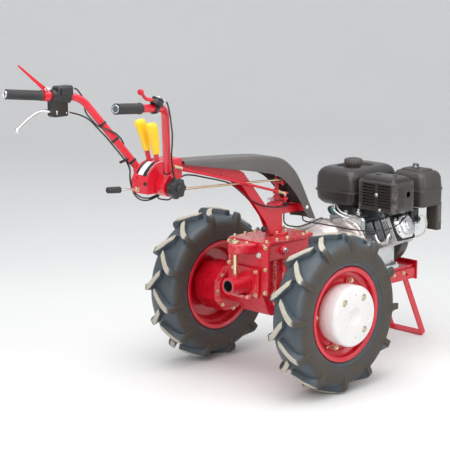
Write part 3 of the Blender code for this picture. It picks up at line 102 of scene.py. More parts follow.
class Paint:
    """A material on one Principled shader. Constants are set on the shader's own sockets."""

    def __init__(self, name, **constants):
        self.material = bpy.data.materials.new(name)
        self.material.use_nodes = True
        self.tree = self.material.node_tree
        self.shader = self.tree.nodes["Principled BSDF"]
        for socket, value in constants.items():
            self.shader.inputs[socket.replace("_", " ").title().replace("Ior", "IOR")].default_value = value
        self.where = self.node("TexCoord", out="Object")

    def feed(self, socket, value):
        if isinstance(value, Wire):
            self.tree.links.new(value.socket, socket)
        else:
            socket.default_value = (*value, 1.0) if socket.type == "RGBA" else value

    def node(self, kind, sockets=None, out=0, **settings):
        made = self.tree.nodes.new("ShaderNode" + kind)
        for key, value in settings.items():
            setattr(made, key, value)
        for key, value in (sockets or {}).items():
            self.feed(made.inputs[key], value)
        return Wire(self, made.outputs[out])

    def maths(self, operation, a, b=0.0):
        wide = any(isinstance(v, tuple) or (isinstance(v, Wire) and v.socket.type != "VALUE") for v in (a, b))
        return self.node("VectorMath" if wide else "Math", {0: a, 1: b}, operation=operation)

    def noise(self, scale, detail=4.0, rough=0.5, where=None):
        return self.node("TexNoise", {"Vector": where or self.where, "Scale": scale, "Detail": detail,
                                      "Roughness": rough}, out="Fac")

    def between(self, value, low, high, start=0.0, end=1.0):
        """start at or under low, end at or over high, and a soft step between them."""
        return self.node("MapRange", {"Value": value, "From Min": low, "From Max": high, "To Min": start,
                                      "To Max": end}, interpolation_type="SMOOTHSTEP")

    def mix(self, share, first, second):
        """Two colours mixed: share 0 gives the first, and 1 the second."""
        return self.node("Mix", {0: share, 6: first, 7: second}, out=2, data_type="RGBA")

    def finish(self, colour, roughness, height=None, depth=0.001, **others):
        sockets = {"Base Color": colour, "Roughness": roughness, **others}
        if height is not None:
            sockets["Normal"] = self.node("Bump", {"Height": height, "Distance": depth, "Strength": 1.0})
        for name, value in sockets.items():
            self.feed(self.shader.inputs[name], value)
        return self.material


# %% [markdown]
# ## The finishes
# Sheet parts are red enamel with a faint orange peel. The castings carry the same paint over a sand-cast
# skin, so they need a coarse bump, and their edges are rubbed pale: the Geometry node's Pointiness finds
# edges. The other finishes follow one pattern: a base colour that varies a little, a roughness that
# varies with it, and a bump at the scale of the real texture.

# %% Painted metal
PALE_RED = (0.86, 0.30, 0.30)


def edges_of(paint, low, high):
    return paint.between(paint.node("NewGeometry", out="Pointiness"), low, high)


def red_enamel():
    paint = Paint("red_enamel", Coat_Weight=0.5, Coat_Roughness=0.08)
    cloud = paint.noise(9.0, 3.0)
    peel = paint.noise(420.0, 2.0)
    colour = paint.mix(cloud, (0.52, 0.003, 0.016), (0.70, 0.006, 0.026))
    dust = paint.between(paint.noise(60.0, 6.0, 0.7), 0.62, 0.80, 0.0, 0.30)
    return paint.finish(paint.mix(dust, colour, PALE_RED), paint.between(cloud, 0.3, 0.7, 0.24, 0.38), peel,
                        0.00025)


def red_casting():
    paint = Paint("red_casting", Coat_Weight=0.35, Coat_Roughness=0.14)
    cloud = paint.noise(14.0, 4.0)
    skin = paint.noise(95.0, 7.0, 0.65) + paint.noise(28.0, 3.0) * 0.8
    rubbed = edges_of(paint, 0.535, 0.60) * paint.between(paint.noise(70.0, 5.0, 0.7), 0.42, 0.60)
    chips = paint.between(paint.noise(130.0, 4.0, 0.6), 0.66, 0.72, 0.0, 0.6)
    colour = paint.mix(cloud, (0.50, 0.003, 0.016), (0.68, 0.008, 0.028))
    colour = paint.mix(rubbed * 0.7, colour, (0.80, 0.55, 0.50))
    colour = paint.mix(chips * 0.5, colour, PALE_RED)
    return paint.finish(colour, paint.between(skin, 0.6, 1.2, 0.22, 0.46), skin, 0.0016)


def black_enamel():
    paint = Paint("black_enamel", Coat_Weight=0.25, Coat_Roughness=0.18)
    grain = paint.noise(520.0, 3.0)
    worn = edges_of(paint, 0.54, 0.62) * paint.between(paint.noise(45.0, 4.0), 0.4, 0.65)
    colour = paint.mix(paint.noise(12.0), (0.022, 0.019, 0.018), (0.042, 0.036, 0.033))
    return paint.finish(paint.mix(worn * 0.5, colour, (0.30, 0.27, 0.25)),
                        paint.between(grain, 0.3, 0.7, 0.30, 0.44), grain, 0.0002)


def cream_casting():
    paint = Paint("cream_casting")
    skin = paint.noise(60.0, 6.0, 0.6) + paint.noise(16.0, 3.0)
    grime = paint.between(paint.noise(34.0, 6.0, 0.7), 0.60, 0.74, 0.0, 0.45)
    specks = paint.between(paint.noise(240.0, 2.0), 0.70, 0.76)
    colour = paint.mix(paint.noise(7.0, 3.0), (0.70, 0.69, 0.69), (0.82, 0.80, 0.78))
    colour = paint.mix(grime, colour, (0.48, 0.45, 0.42))
    colour = paint.mix(specks * 0.5, colour, (0.16, 0.14, 0.13))
    return paint.finish(colour, paint.between(skin, 0.7, 1.2, 0.42, 0.60), skin, 0.0018)


ENAMEL, CASTING, BLACK, CREAM = red_enamel(), red_casting(), black_enamel(), cream_casting()


print("painted finishes:", len(bpy.data.materials))

# %% [markdown]
# ## Bare metal
# Castings, plated bolts and the polished lever are all metal with a tint of their own. One function makes
# them, so that they differ only in colour, roughness and the size of their grain. A second cloud adds the
# brown or grey stain that an engine gets from heat and oil.

# %% Bare metal
def metal(name, dark, light, roughness, grain_scale, depth, stain=None):
    """Bare metal: two tints of one colour in a cloud, and an optional stain that follows a second cloud."""
    paint = Paint(name, Metallic=1.0)
    cloud, grain = paint.noise(22.0, 5.0), paint.noise(grain_scale, 5.0, 0.6)
    colour = paint.mix(cloud, dark, light)
    if stain:
        colour = paint.mix(paint.between(paint.noise(48.0, 6.0, 0.7), 0.52, 0.70, 0.0, 0.7), colour, stain)
    return paint.finish(colour, paint.between(grain, 0.3, 0.7, roughness - 0.08, roughness + 0.12), grain,
                        depth)


ALUMINIUM = metal("cast_aluminium", (0.50, 0.52, 0.53), (0.78, 0.79, 0.80), 0.36, 260.0, 0.0005)
HOUSING_METAL = metal("stained_aluminium", (0.52, 0.46, 0.44), (0.80, 0.74, 0.72), 0.38, 150.0, 0.0009,
                      (0.42, 0.30, 0.24))
ZINC = metal("yellow_zinc", (0.62, 0.48, 0.22), (0.86, 0.78, 0.55), 0.30, 300.0, 0.0002, (0.75, 0.74, 0.72))
STEEL = metal("bright_steel", (0.66, 0.67, 0.69), (0.88, 0.88, 0.89), 0.18, 400.0, 0.0001)
BRASS = metal("worn_brass", (0.42, 0.36, 0.24), (0.72, 0.66, 0.50), 0.34, 280.0, 0.0004, (0.60, 0.60, 0.58))
SOOT_METAL = metal("dark_cast_metal", (0.10, 0.12, 0.13), (0.24, 0.27, 0.29), 0.42, 180.0, 0.0006)


# %% [markdown]
# ## Rubber and plastics
# The tyre's rubber is blue-grey and glossy between the lugs, dusty brown on the side wall, and worn to
# cream on the lugs' tops. All three follow from where a point is, so the material measures the distance
# from the axle and from the wheel's middle plane, and mixes by those.

# %% Rubber and plastics
def tyre_rubber():
    paint = Paint("tyre_rubber")
    axes = paint.node("SeparateXYZ", {0: paint.where}, out="X").socket.node
    x, y, z = (Wire(paint, axes.outputs[i]) for i in range(3))
    radius = ((x - AXLE_X) ** 2 + (z - TYRE_R) ** 2) ** 0.5
    aside = paint.maths("ABSOLUTE", paint.maths("ABSOLUTE", y) - WHEEL_Y)
    smear = paint.noise(26.0, 6.0, 0.65)
    top = paint.between(radius + smear * 0.006, TYRE_R * 0.985, TYRE_R * 0.998)
    wall = paint.between(aside + smear * 0.02, 0.068, 0.084)
    tread = paint.mix(paint.noise(11.0, 4.0), (0.030, 0.042, 0.052), (0.075, 0.098, 0.115))
    brown = paint.mix(smear, (0.034, 0.028, 0.022), (0.090, 0.072, 0.056))
    worn = paint.mix(paint.noise(90.0, 5.0, 0.7), (0.30, 0.27, 0.22), (0.64, 0.60, 0.50))
    colour = paint.mix(top, paint.mix(wall, tread, brown), worn)
    grain = paint.noise(170.0, 6.0, 0.7)
    gloss = paint.between(wall + top + smear * 0.4, 0.1, 0.9, 0.36, 0.74)
    return paint.finish(colour, gloss, grain, 0.0006)


def moulded(name, dark, light, roughness, grain_scale=600.0, depth=0.0002, edge=None, **constants):
    """A moulded plastic or rubber: a faint cloud of two tints, a fine grain, and, if asked, a painted
    highlight: convex edges mixed towards a paler colour.
    """
    paint = Paint(name, **constants)
    colour = paint.mix(paint.noise(14.0, 4.0), dark, light)
    # Painted highlight: convex edges, found by Pointiness, are mixed halfway towards the paler edge colour.
    if edge:
        colour = paint.mix(edges_of(paint, 0.53, 0.60) * 0.5, colour, edge)
    grain = paint.noise(grain_scale, 3.0, 0.6)
    return paint.finish(colour, paint.between(grain, 0.3, 0.7, roughness - 0.06, roughness + 0.08), grain,
                        depth)


TYRE = tyre_rubber()
GRIP = moulded("grip_rubber", (0.016, 0.016, 0.017), (0.034, 0.034, 0.036), 0.52, 260.0, 0.0005)
# The last colour given to the hood and the shell is the paler colour of their painted edge highlight.
HOOD = moulded("hood_plastic", (0.085, 0.078, 0.075), (0.125, 0.115, 0.110), 0.34, 700.0, 0.0002,
               (0.30, 0.28, 0.27))
SHELL = moulded("black_shell", (0.036, 0.030, 0.027), (0.062, 0.054, 0.049), 0.38, 420.0, 0.0004,
                (0.24, 0.21, 0.19))
BLACK_PLASTIC = moulded("black_plastic", (0.012, 0.012, 0.013), (0.026, 0.025, 0.026), 0.34)
YELLOW = moulded("yellow_plastic", (0.86, 0.50, 0.010), (0.98, 0.66, 0.030), 0.30, 300.0, 0.0001)
CABLE = moulded("cable_sheath", (0.010, 0.010, 0.011), (0.026, 0.026, 0.028), 0.36, 900.0, 0.0001)
GASKET = moulded("gasket", (0.008, 0.008, 0.009), (0.018, 0.018, 0.019), 0.60)
BLANK_LABEL = moulded("blank_label", (0.72, 0.74, 0.76), (0.84, 0.85, 0.86), 0.35, 300.0, 0.0001)
HOSE = moulded("fuel_hose", (0.55, 0.52, 0.46), (0.72, 0.70, 0.64), 0.22, 300.0, 0.0001)
print(len(bpy.data.materials), "finishes")

# %% [markdown]
# ## Shape tools
# A `Form` is one bmesh that shapes are added to. Turned parts come from `lathe`, flat ones from `slab`,
# bent bars and cables from `sweep`. `soft` rounds the corners of an outline first, because real pressed
# and cast edges are never sharp. `place` hands the form to Blender, rounds what edges are left with a
# Bevel modifier, gives it its finish and hangs it on its body. All sizes are measured from the axle;
# `place` shifts them.

# %% Shape tools
def soft(corners, bend, steps=4, closed=True):
    """The corners rounded by arcs that start `bend` before each one."""
    corners = [Vector(c) for c in corners]
    count, points = len(corners), []
    for i, corner in enumerate(corners):
        if not closed and i in (0, count - 1):
            points.append(corner)
            continue
        before, after = corners[i - 1], corners[(i + 1) % count]
        a = corner + (before - corner).normalized() * min(bend, (before - corner).length * 0.48)
        b = corner + (after - corner).normalized() * min(bend, (after - corner).length * 0.48)
        for k in range(steps + 1):
            t = k / steps
            points.append(a * (1 - t) ** 2 + corner * 2 * t * (1 - t) + b * t ** 2)
    return points


def curve_through(corners, count):
    """`count` points of a Catmull-Rom curve through the given points."""
    knots = [Vector(p) for p in corners]
    knots = [2 * knots[0] - knots[1]] + knots + [2 * knots[-1] - knots[-2]]
    spans, points = len(knots) - 3, []
    for i in range(count):
        k = min(int(i / (count - 1) * spans), spans - 1)
        t = i / (count - 1) * spans - k
        a, b, c, d = knots[k:k + 4]
        points.append(0.5 * (2 * b + (c - a) * t + (2 * a - 5 * b + 4 * c - d) * t ** 2
                             + (3 * b - a - 3 * c + d) * t ** 3))
    return points


def frame_of(axis):
    """Two directions square to the axis and to each other."""
    axis = Vector(axis).normalized()
    up = Vector((0, 0, 1)) if abs(axis.z) < 0.9 else Vector((1, 0, 0))
    up = (up - axis * up.dot(axis)).normalized()
    return up, axis.cross(up)


class Form:
    """A mesh that is being built up from shapes."""

    def __init__(self):
        self.bm = bmesh.new()

    def skin(self, rings, closed_rings=True, caps=True):
        """Faces between rings of points; a ring of one point is a tip."""
        rows = [[self.bm.verts.new(p) for p in ring] for ring in rings]
        for first, second in zip(rows, rows[1:]):
            count = max(len(first), len(second))
            for i in range(count if closed_rings else count - 1):
                j = (i + 1) % count
                corners = [first[i % len(first)], first[j % len(first)], second[j % len(second)],
                           second[i % len(second)]]
                unique = list(dict.fromkeys(corners))
                if len(unique) > 2:
                    self.bm.faces.new(unique)
        if caps:
            for row in (rows[0], rows[-1]):
                if len(row) > 2:
                    self.bm.faces.new(row)
        return self

    def box(self, low, high, turn=None):
        (x0, y0, z0), (x1, y1, z1) = low, high
        corners = [(x0, y0), (x1, y0), (x1, y1), (x0, y1)]
        rings = [[Vector((x, y, z)) for x, y in corners] for z in (z0, z1)]
        return self.skin([[turn @ p for p in ring] if turn else ring for ring in rings])

    def slab(self, outline, low_z, high_z):
        """An outline of (x, y) points with a thickness along z."""
        return self.skin([[Vector((p[0], p[1], z)) for p in outline] for z in (low_z, high_z)])

    def lathe(self, profile, centre, axis, segments=48, closed=False, phase=0.0):
        """A profile of (along, radius) points turned about an axis through centre."""
        axis = Vector(axis).normalized()
        up, side = frame_of(axis)
        turns = [phase + 2 * math.pi * i / segments for i in range(segments)]
        around = [up * math.cos(t) + side * math.sin(t) for t in turns]
        rings = []
        for along, radius in profile:
            middle = Vector(centre) + axis * along
            rings.append([middle] if radius < 1e-6 else [middle + out * radius for out in around])
        if closed:
            rings.append(rings[0])
        self.skin(rings, caps=not closed)
        if closed:
            bmesh.ops.remove_doubles(self.bm, verts=self.bm.verts, dist=1e-6)
        return self

    def sweep(self, points, radius, sides=12):
        """A round bar along the points; radius is a number, or one for each point."""
        points = [Vector(p) for p in points]
        radii = radius if isinstance(radius, (list, tuple)) else [radius] * len(points)
        tangent = (points[1] - points[0]).normalized()
        up, _ = frame_of(tangent)
        rings = []
        for i, (point, r) in enumerate(zip(points, radii)):
            ahead = points[min(i + 1, len(points) - 1)] - points[max(i - 1, 0)]
            tangent = ahead.normalized()
            up = (up - tangent * up.dot(tangent)).normalized()
            side = tangent.cross(up)
            rings.append([point + (up * math.cos(a) + side * math.sin(a)) * r
                          for a in (2 * math.pi * k / sides for k in range(sides))])
        return self.skin(rings)

    def bolt(self, centre, axis, size, height, washer=True):
        """A hexagon head, chamfered, on a washer."""
        if washer:
            self.lathe([(0, 0), (0, size * 1.32), (height * 0.22, size * 1.30), (height * 0.22, 0)], centre,
                       axis, 20)
        start = height * 0.2
        profile = [(start, 0), (start, size), (height * 0.86, size), (height, size * 0.80), (height, 0)]
        return self.lathe(profile, centre, axis, 6)

    def add(self, other, move=None):
        """Another form's mesh, moved by a matrix if asked."""
        mesh = bpy.data.meshes.new("step")
        other.bm.to_mesh(mesh)
        if move:
            mesh.transform(move)
        self.bm.from_mesh(mesh)
        bpy.data.meshes.remove(mesh)
        return self

    def as_object(self, name):
        bmesh.ops.recalc_face_normals(self.bm, faces=self.bm.faces)
        mesh = bpy.data.meshes.new(name)
        self.bm.to_mesh(mesh)
        made = bpy.data.objects.new(name, mesh)
        bpy.context.scene.collection.objects.link(made)
        return made

    def combine(self, other, operation):
        """An exact Boolean with another form. A union allows the tool to overlap itself, so callers use it to
        join overlapping cutters before a cut.
        """
        base, tool = self.as_object("base"), other.as_object("tool")
        step = base.modifiers.new("boolean", "BOOLEAN")
        step.operation, step.object, step.use_self = operation, tool, operation == "UNION"
        bpy.context.view_layer.update()
        joined = bpy.data.meshes.new_from_object(base.evaluated_get(bpy.context.evaluated_depsgraph_get()))
        mesh = bpy.data.meshes.new("joined")
        mesh.from_pydata([v.co for v in joined.vertices], [], [face.vertices[:] for face in joined.polygons])
        mesh.validate()
        self.bm.free()
        self.bm = bmesh.new()
        self.bm.from_mesh(mesh)
        for old in (base, tool):
            bpy.data.objects.remove(old, do_unlink=True)
        return self

    def cut(self, other):
        return self.combine(other, "DIFFERENCE")


def from_cad(node):
    """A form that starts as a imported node's own shape, welded and with its flat faces whole."""
    form = Form()
    form.bm.from_mesh(frame["nodes"][node].data)
    bmesh.ops.remove_doubles(form.bm, verts=form.bm.verts, dist=2e-5)
    bmesh.ops.dissolve_limit(form.bm, angle_limit=math.radians(0.6), verts=form.bm.verts, edges=form.bm.edges)
    bmesh.ops.translate(form.bm, vec=(-AXLE_X, 0, 0), verts=form.bm.verts)
    return form


BODY_OF = {node: body for body, nodes in frame["record"]["behaviour"]["bodies"].items() for node in nodes}
triangles = {}


def place(form, name, finish, body, stands_for=(), bevel=0.0015, segments=2, crease=38, levels=0):
    """Makes the form a shown piece of the machine."""
    made = form.as_object(name)
    made.data.transform(Matrix.Translation((AXLE_X, 0, 0)))
    made.data.materials.append(finish)
    if levels:
        step = made.modifiers.new("smooth", "SUBSURF")
        step.levels = step.render_levels = levels
    if bevel:
        step = made.modifiers.new("round", "BEVEL")
        step.width, step.segments, step.limit_method = bevel, segments, "ANGLE"
        step.angle_limit, step.use_clamp_overlap = math.radians(32), True
    made.data.shade_smooth()
    made.data.set_sharp_from_angle(angle=math.radians(crease))
    if body:
        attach(made, body)
    if stands_for:
        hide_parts(*([stands_for] if isinstance(stands_for, str) else stands_for))
    triangles[name] = len(made.data.polygons)
    return made


def dress(node, name, finish, bevel=0.002, segments=3, extra=None, crease=38):
    """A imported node's own shape with its edges rounded, and details added to it."""
    form = from_cad(node)
    if extra:
        form.add(extra)
    return place(form, name, finish, BODY_OF[node], node, bevel, segments, crease)


# %% [markdown]
# ## Floor, light and camera
# A plain pale floor and one big soft light overhead, with a weaker one from the camera's side, show the
# paint's gloss without hard shadows. The camera looks down a little from behind the right wheel through a
# long lens.

# %% Floor, light and camera
def build_stage():
    floor_paint = Paint("pale_floor")
    cloud = floor_paint.noise(0.8, 3.0)
    floor_finish = floor_paint.finish(floor_paint.mix(cloud, (0.78, 0.78, 0.77), (0.83, 0.83, 0.82)),
                                      floor_paint.between(cloud, 0.3, 0.7, 0.55, 0.7))
    floor = Form()
    radius, bend = 9.0, 2.5
    wall = [(radius - bend, 0.0)] + [(radius - bend + bend * math.sin(a), bend - bend * math.cos(a))
                                     for a in (math.pi / 2 * i / 8 for i in range(1, 9))]
    floor.lathe([(0.0, 0.0)] + [(z, r) for r, z in wall] + [(7.0, radius)], (0, 0, -0.0005), (0, 0, 1), 96)
    top = max(floor.bm.faces, key=lambda f: f.calc_center_median().z if len(f.verts) > 4 else -1)
    floor.bm.faces.remove(top)
    backdrop = place(floor, "floor", floor_finish, None, bevel=0, crease=60)
    backdrop.data.flip_normals()
    for name, place_at, size, power, colour in (
            ("overhead", (-0.6, -0.5, 3.4), 3.6, 100, (1.0, 0.99, 0.97)),
            ("camera_side", (-3.2, -1.8, 2.2), 2.2, 46, (1.0, 1.0, 1.0)),
            ("front_side", (1.8, -3.4, 2.0), 2.4, 36, (1.0, 0.98, 0.96))):
        lamp = bpy.data.lights.new(name, "AREA")
        lamp.size, lamp.energy, lamp.color = size, power, colour
        light = bpy.data.objects.new(name, lamp)
        light.location = place_at
        light.rotation_euler = (Vector((0, 0, 0.5)) - light.location).to_track_quat("-Z", "Y").to_euler()
        bpy.context.scene.collection.objects.link(light)
    world = bpy.data.worlds.new("studio")
    world.use_nodes = True
    world.node_tree.nodes["Background"].inputs["Color"].default_value = (0.93, 0.95, 1.0, 1.0)
    world.node_tree.nodes["Background"].inputs["Strength"].default_value = 0.82
    bpy.context.scene.world = world


def build_camera():
    lens = bpy.data.cameras.new("camera")
    lens.lens, lens.sensor_width = 122.0, 36.0
    camera = bpy.data.objects.new("camera", lens)
    camera.location = (-4.113 + AXLE_X, -3.949, 1.723)
    camera.rotation_euler = (math.radians(78.66), 0.0, math.radians(-44.42))
    bpy.context.scene.collection.objects.link(camera)
    bpy.context.scene.camera = camera


build_stage()
build_camera()
bpy.context.scene.view_settings.view_transform = "Standard"

# %% [markdown]
# ## The tyres
# A farm tyre's lugs are bars that start at the tread's middle, run out at a slant, and turn square at the
# shoulder before they die away on the side wall. Each lug is skinned through a few sections, and each
# section knows its place on two curves: the lug's top and the carcass under it. Twelve lugs stand on each
# side, and the two sides are half a step apart.

# %% Tyres
LUGS = 12
CARCASS = [(0.050, 0.168), (0.0505, 0.1775), (0.058, 0.1818), (0.0625, 0.1870), (0.0660, 0.1950),
           (0.0678, 0.1962),
           (0.0676, 0.2000), (0.0700, 0.2090), (0.0722, 0.2220), (0.0722, 0.2400), (0.0690, 0.2540),
           (0.0600, 0.2650),
           (0.0440, 0.2715), (0.0220, 0.2745), (0.0, 0.2755)]
# (top's distance from the middle and radius, base's distance and radius, slant, half width at top and base)
LUG_SECTIONS = [
    (-0.011, 0.2978, -0.014, 0.2720, -0.004, 0.0105, 0.0165),
    (0.004, 0.2994, 0.004, 0.2720, 0.012, 0.0125, 0.0185),
    (0.018, 0.2994, 0.018, 0.2710, 0.030, 0.0130, 0.0190),
    (0.032, 0.2990, 0.032, 0.2700, 0.046, 0.0130, 0.0190),
    (0.045, 0.2978, 0.045, 0.2680, 0.057, 0.0125, 0.0180),
    (0.057, 0.2950, 0.057, 0.2630, 0.0635, 0.0115, 0.0170),
    (0.068, 0.2890, 0.064, 0.2580, 0.0665, 0.0105, 0.0160),
    (0.0750, 0.2790, 0.0670, 0.2520, 0.0675, 0.0100, 0.0150),
    (0.0772, 0.2660, 0.0690, 0.2450, 0.0675, 0.0095, 0.0140),
    (0.0765, 0.2520, 0.0700, 0.2360, 0.0670, 0.0090, 0.0125),
    (0.0740, 0.2380, 0.0700, 0.2260, 0.0665, 0.0075, 0.0100),
    (0.0715, 0.2240, 0.0690, 0.2180, 0.0660, 0.0050, 0.0070)]


def round_the_tyre(side, from_middle, radius, turn):
    """A point on the wheel: turn runs from the top over the rear."""
    return Vector((-radius * math.sin(turn), side * WHEEL_Y + from_middle, TYRE_R + radius * math.cos(turn)))


def lug(form, side, row, start):
    rings = []
    for top_a, top_r, base_a, base_r, slant, top_w, base_w in LUG_SECTIONS:
        middle = start + slant / TYRE_R
        ring = []
        for a, r, w in ((base_a, base_r, -base_w), (top_a, top_r - 0.002, -top_w - 0.0012),
                        (top_a, top_r, -top_w),
                        (top_a, top_r, top_w), (top_a, top_r - 0.002, top_w + 0.0012),
                        (base_a, base_r, base_w)):
            ring.append(round_the_tyre(side, row * a, r, middle + w / TYRE_R))
        rings.append(ring)
    form.skin(rings)


def tyre(side, word):
    form = Form()
    profile = CARCASS + [(-a, r) for a, r in reversed(CARCASS[:-1])]
    form.lathe(profile, (0, side * WHEEL_Y, TYRE_R), (0, 1, 0), 120)
    form.bm.faces.ensure_lookup_table()
    for end in [f for f in form.bm.faces if len(f.verts) > 4]:
        form.bm.faces.remove(end)
    for row in (1, -1):
        outer = row == side
        for k in range(LUGS):
            lug(form, side, row, math.radians((74 if outer else 59) + k * 360 / LUGS))
    place(form, f"{word}_tyre_lugged", TYRE, f"wheel_{word}", f"{word}_tyre", bevel=0,
          crease=30)


# %% [markdown]
# ## Rims and wheel weights
# A pressed rim is one section turned about the axle, so its profile is written once and rounded by
# `soft`. The weight is a thick casting bolted on the disc: its face has a dished middle, three bolt
# pockets and two tapped holes, cut by Booleans because they are real holes that catch shadow.

# %% Rims and weights
RIM_TIP, RIM_HALF, SHEET = 0.179, 0.060, 0.004
DISC_OUT = 0.016
BOLT_TURNS = (62.0, -98.0, 178.0)
POCKET_TURNS = (133.0, 52.0, -46.0)
WEIGHT_R = 0.115
WEIGHT_FACE = DISC_OUT + 0.0004 + 0.0836


def on_disc(side, radius, degrees, out):
    """A point of the wheel's outer side: degrees from the front over the top, out from the middle plane."""
    turn = math.radians(degrees)
    return Vector((radius * math.cos(turn), side * (WHEEL_Y + out), TYRE_R + radius * math.sin(turn)))


def rim(side, word):
    tip, flat, well, w, t = RIM_TIP, RIM_TIP - 0.0145, RIM_TIP - 0.034, RIM_HALF, SHEET
    outside = [(w, tip - 0.002), (w - 0.003, tip), (w - 0.007, tip - 0.002), (w - 0.0085, flat),
               (w - 0.024, flat - 0.002),
               (w - 0.034, well), (-w + 0.034, well), (-w + 0.024, flat - 0.002), (-w + 0.0085, flat),
               (-w + 0.007, tip - 0.002), (-w + 0.003, tip), (-w, tip - 0.002)]
    inside = [(-w, tip - 0.006), (-w + 0.0035, flat - t), (-w + 0.022, flat - t - 0.002),
              (DISC_OUT - t, well - t - 0.003),
              (DISC_OUT - t, 0.036), (DISC_OUT, 0.036), (DISC_OUT, well - t - 0.014),
              (DISC_OUT + 0.010, well - t),
              (w - 0.032, well - t), (w - 0.022, flat - t - 0.002), (w - 0.0035, flat - t), (w, tip - 0.006)]
    form = Form()
    form.lathe(soft(outside + inside, 0.004, 3), (0, side * WHEEL_Y, TYRE_R), (0, side, 0), 96, closed=True)
    for degrees in BOLT_TURNS:
        half = math.radians(11)
        ring = []
        for radius, spread in ((0.104, 0.8), (0.139, 1.0)):
            for sign in ((-1, 1) if radius < 0.12 else (1, -1)):
                ring.append((radius, math.radians(degrees) + sign * half * spread))
        form.skin([[on_disc(side, r, math.degrees(a), out) for r, a in ring]
                   for out in (DISC_OUT - 0.001, DISC_OUT + 0.007)])
    place(form, f"{word}_rim_pressed", ENAMEL, f"wheel_{word}", f"{word}_rim", bevel=0.0012)
    bolts = Form()
    for degrees in BOLT_TURNS:
        bolts.bolt(on_disc(side, 0.130, degrees, DISC_OUT + 0.007), (0, side, 0), 0.0085, 0.010)
    place(bolts, f"{word}_rim_bolts", ZINC, f"wheel_{word}", bevel=0.0006)
    stem = Form()
    root = on_disc(side, 0.139, -122, 0.030)
    stem.sweep([root, on_disc(side, 0.132, -122, 0.034), on_disc(side, 0.128, -121, 0.046),
                on_disc(side, 0.127, -120, 0.062)],
               [0.0055, 0.0050, 0.0042, 0.0040], 14)
    place(stem, f"{word}_valve_stem", BRASS, f"wheel_{word}", bevel=0.0006)


def wheel_weight(side, word):
    back, face, r = DISC_OUT + 0.0004, WEIGHT_FACE, WEIGHT_R
    dish = [(face - 0.011 * math.cos(math.pi / 2 * k / 6) ** 1.4, 0.034 * math.sin(math.pi / 2 * k / 6))
            for k in range(6, -1, -1)]
    profile = [(back, 0), (back, r - 0.008), (back + 0.004, r - 0.006), (back + 0.030, r - 0.001),
               (face - 0.014, r - 0.0002),
               (face - 0.007, r - 0.0015), (face - 0.002, r - 0.0055), (face, r - 0.012),
               (face + 0.0004, 0.060)] + dish
    form = Form()
    form.lathe(profile, (0, side * WHEEL_Y, TYRE_R), (0, side, 0), 96)
    for degrees in POCKET_TURNS:
        pocket = Form().lathe([(-0.013, 0), (-0.013, 0.0125), (0.004, 0.0145), (0.004, 0)],
                              on_disc(side, 0.080, degrees, face), (0, side, 0), 28)
        form.cut(pocket)
    for degrees in (88.0, -86.0):
        hole = Form().lathe([(-0.008, 0), (-0.008, 0.0028), (0.003, 0.0028), (0.003, 0)],
                            on_disc(side, 0.080, degrees, face), (0, side, 0), 14)
        form.cut(hole)
    groove = Form()
    for k in range(9):
        middle = POCKET_TURNS[2] + 28 + k * 5.0
        groove.lathe([(-0.0022, 0), (-0.0022, 0.010), (0.004, 0.013), (0.004, 0)],
                     on_disc(side, 0.078, middle, face),
                     (0, side, 0), 16)
    merged = Form().combine(groove, "UNION")
    form.cut(merged)
    place(form, f"{word}_weight_cast", CREAM, f"wheel_{word}", f"{word}_wheel_weight",
          bevel=0.0016, segments=3)
    bolts = Form()
    for degrees in POCKET_TURNS:
        bolts.bolt(on_disc(side, 0.080, degrees, face - 0.013), (0, side, 0), 0.0080, 0.009)
    place(bolts, f"{word}_weight_bolts", ZINC, f"wheel_{word}", bevel=0.0006)


for wheel_side, wheel_word in ((1, "left"), (-1, "right")):
    tyre(wheel_side, wheel_word)
    rim(wheel_side, wheel_word)
    wheel_weight(wheel_side, wheel_word)
    dress(f"{wheel_word}_hub", f"{wheel_word}_hub_turned", ENAMEL, 0.0015)
print("wheels:", sum(triangles.values()), "faces")

# %% [markdown]
# ## Tank, guard and air cleaner
# These are deep-drawn sheet and moulded shells. Stacking rounded rectangles and skinning them gives such
# a shell in one piece, with the seam lip as two rings that stand out. The guard over the muffler is a
# thin shell with real slots, so its louvres catch light and the muffler shows dark behind them.

# %% Stacked shells
def ring_at(z, x0, x1, y0, y1, bend):
    return [Vector((p.x, p.y, z)) for p in soft([(x0, y0), (x1, y0), (x1, y1), (x0, y1)], bend, 6)]


def stack(stations, box):
    """Rings of one plan: a station is a height, how far it stands in from the box, and its corner."""
    x0, x1, y0, y1 = box
    return Form().skin([ring_at(z, x0 + d, x1 - d, y0 + d, y1 - d, bend) for z, d, bend in stations])


def fuel_tank():
    box = (0.430, 0.722, -0.036, 0.172)
    tank = stack([(0.587, 0.034, 0.020), (0.589, 0.026, 0.026), (0.600, 0.012, 0.034), (0.612, 0.004, 0.036),
                  (0.643, 0.001, 0.036), (0.6435, -0.004, 0.040), (0.6505, -0.0045, 0.040),
                  (0.6515, 0.001, 0.036),
                  (0.700, 0.002, 0.036), (0.716, 0.005, 0.038), (0.728, 0.011, 0.038), (0.7365, 0.021, 0.036),
                  (0.7405, 0.031, 0.032), (0.7415, 0.040, 0.028)], box)
    well = Form().skin([ring_at(z, 0.552 - r, 0.552 + r + 0.03, 0.066 - r, 0.066 + r, 0.030)
                        for z, r in ((0.730, 0.048), (0.733, 0.052), (0.7385, 0.054), (0.7425, 0.060),
                                     (0.760, 0.062))])
    tank.cut(well)
    place(tank, "fuel_tank_pressed", BLACK, "chassis", "fuel_tank", bevel=0.0012, segments=2)


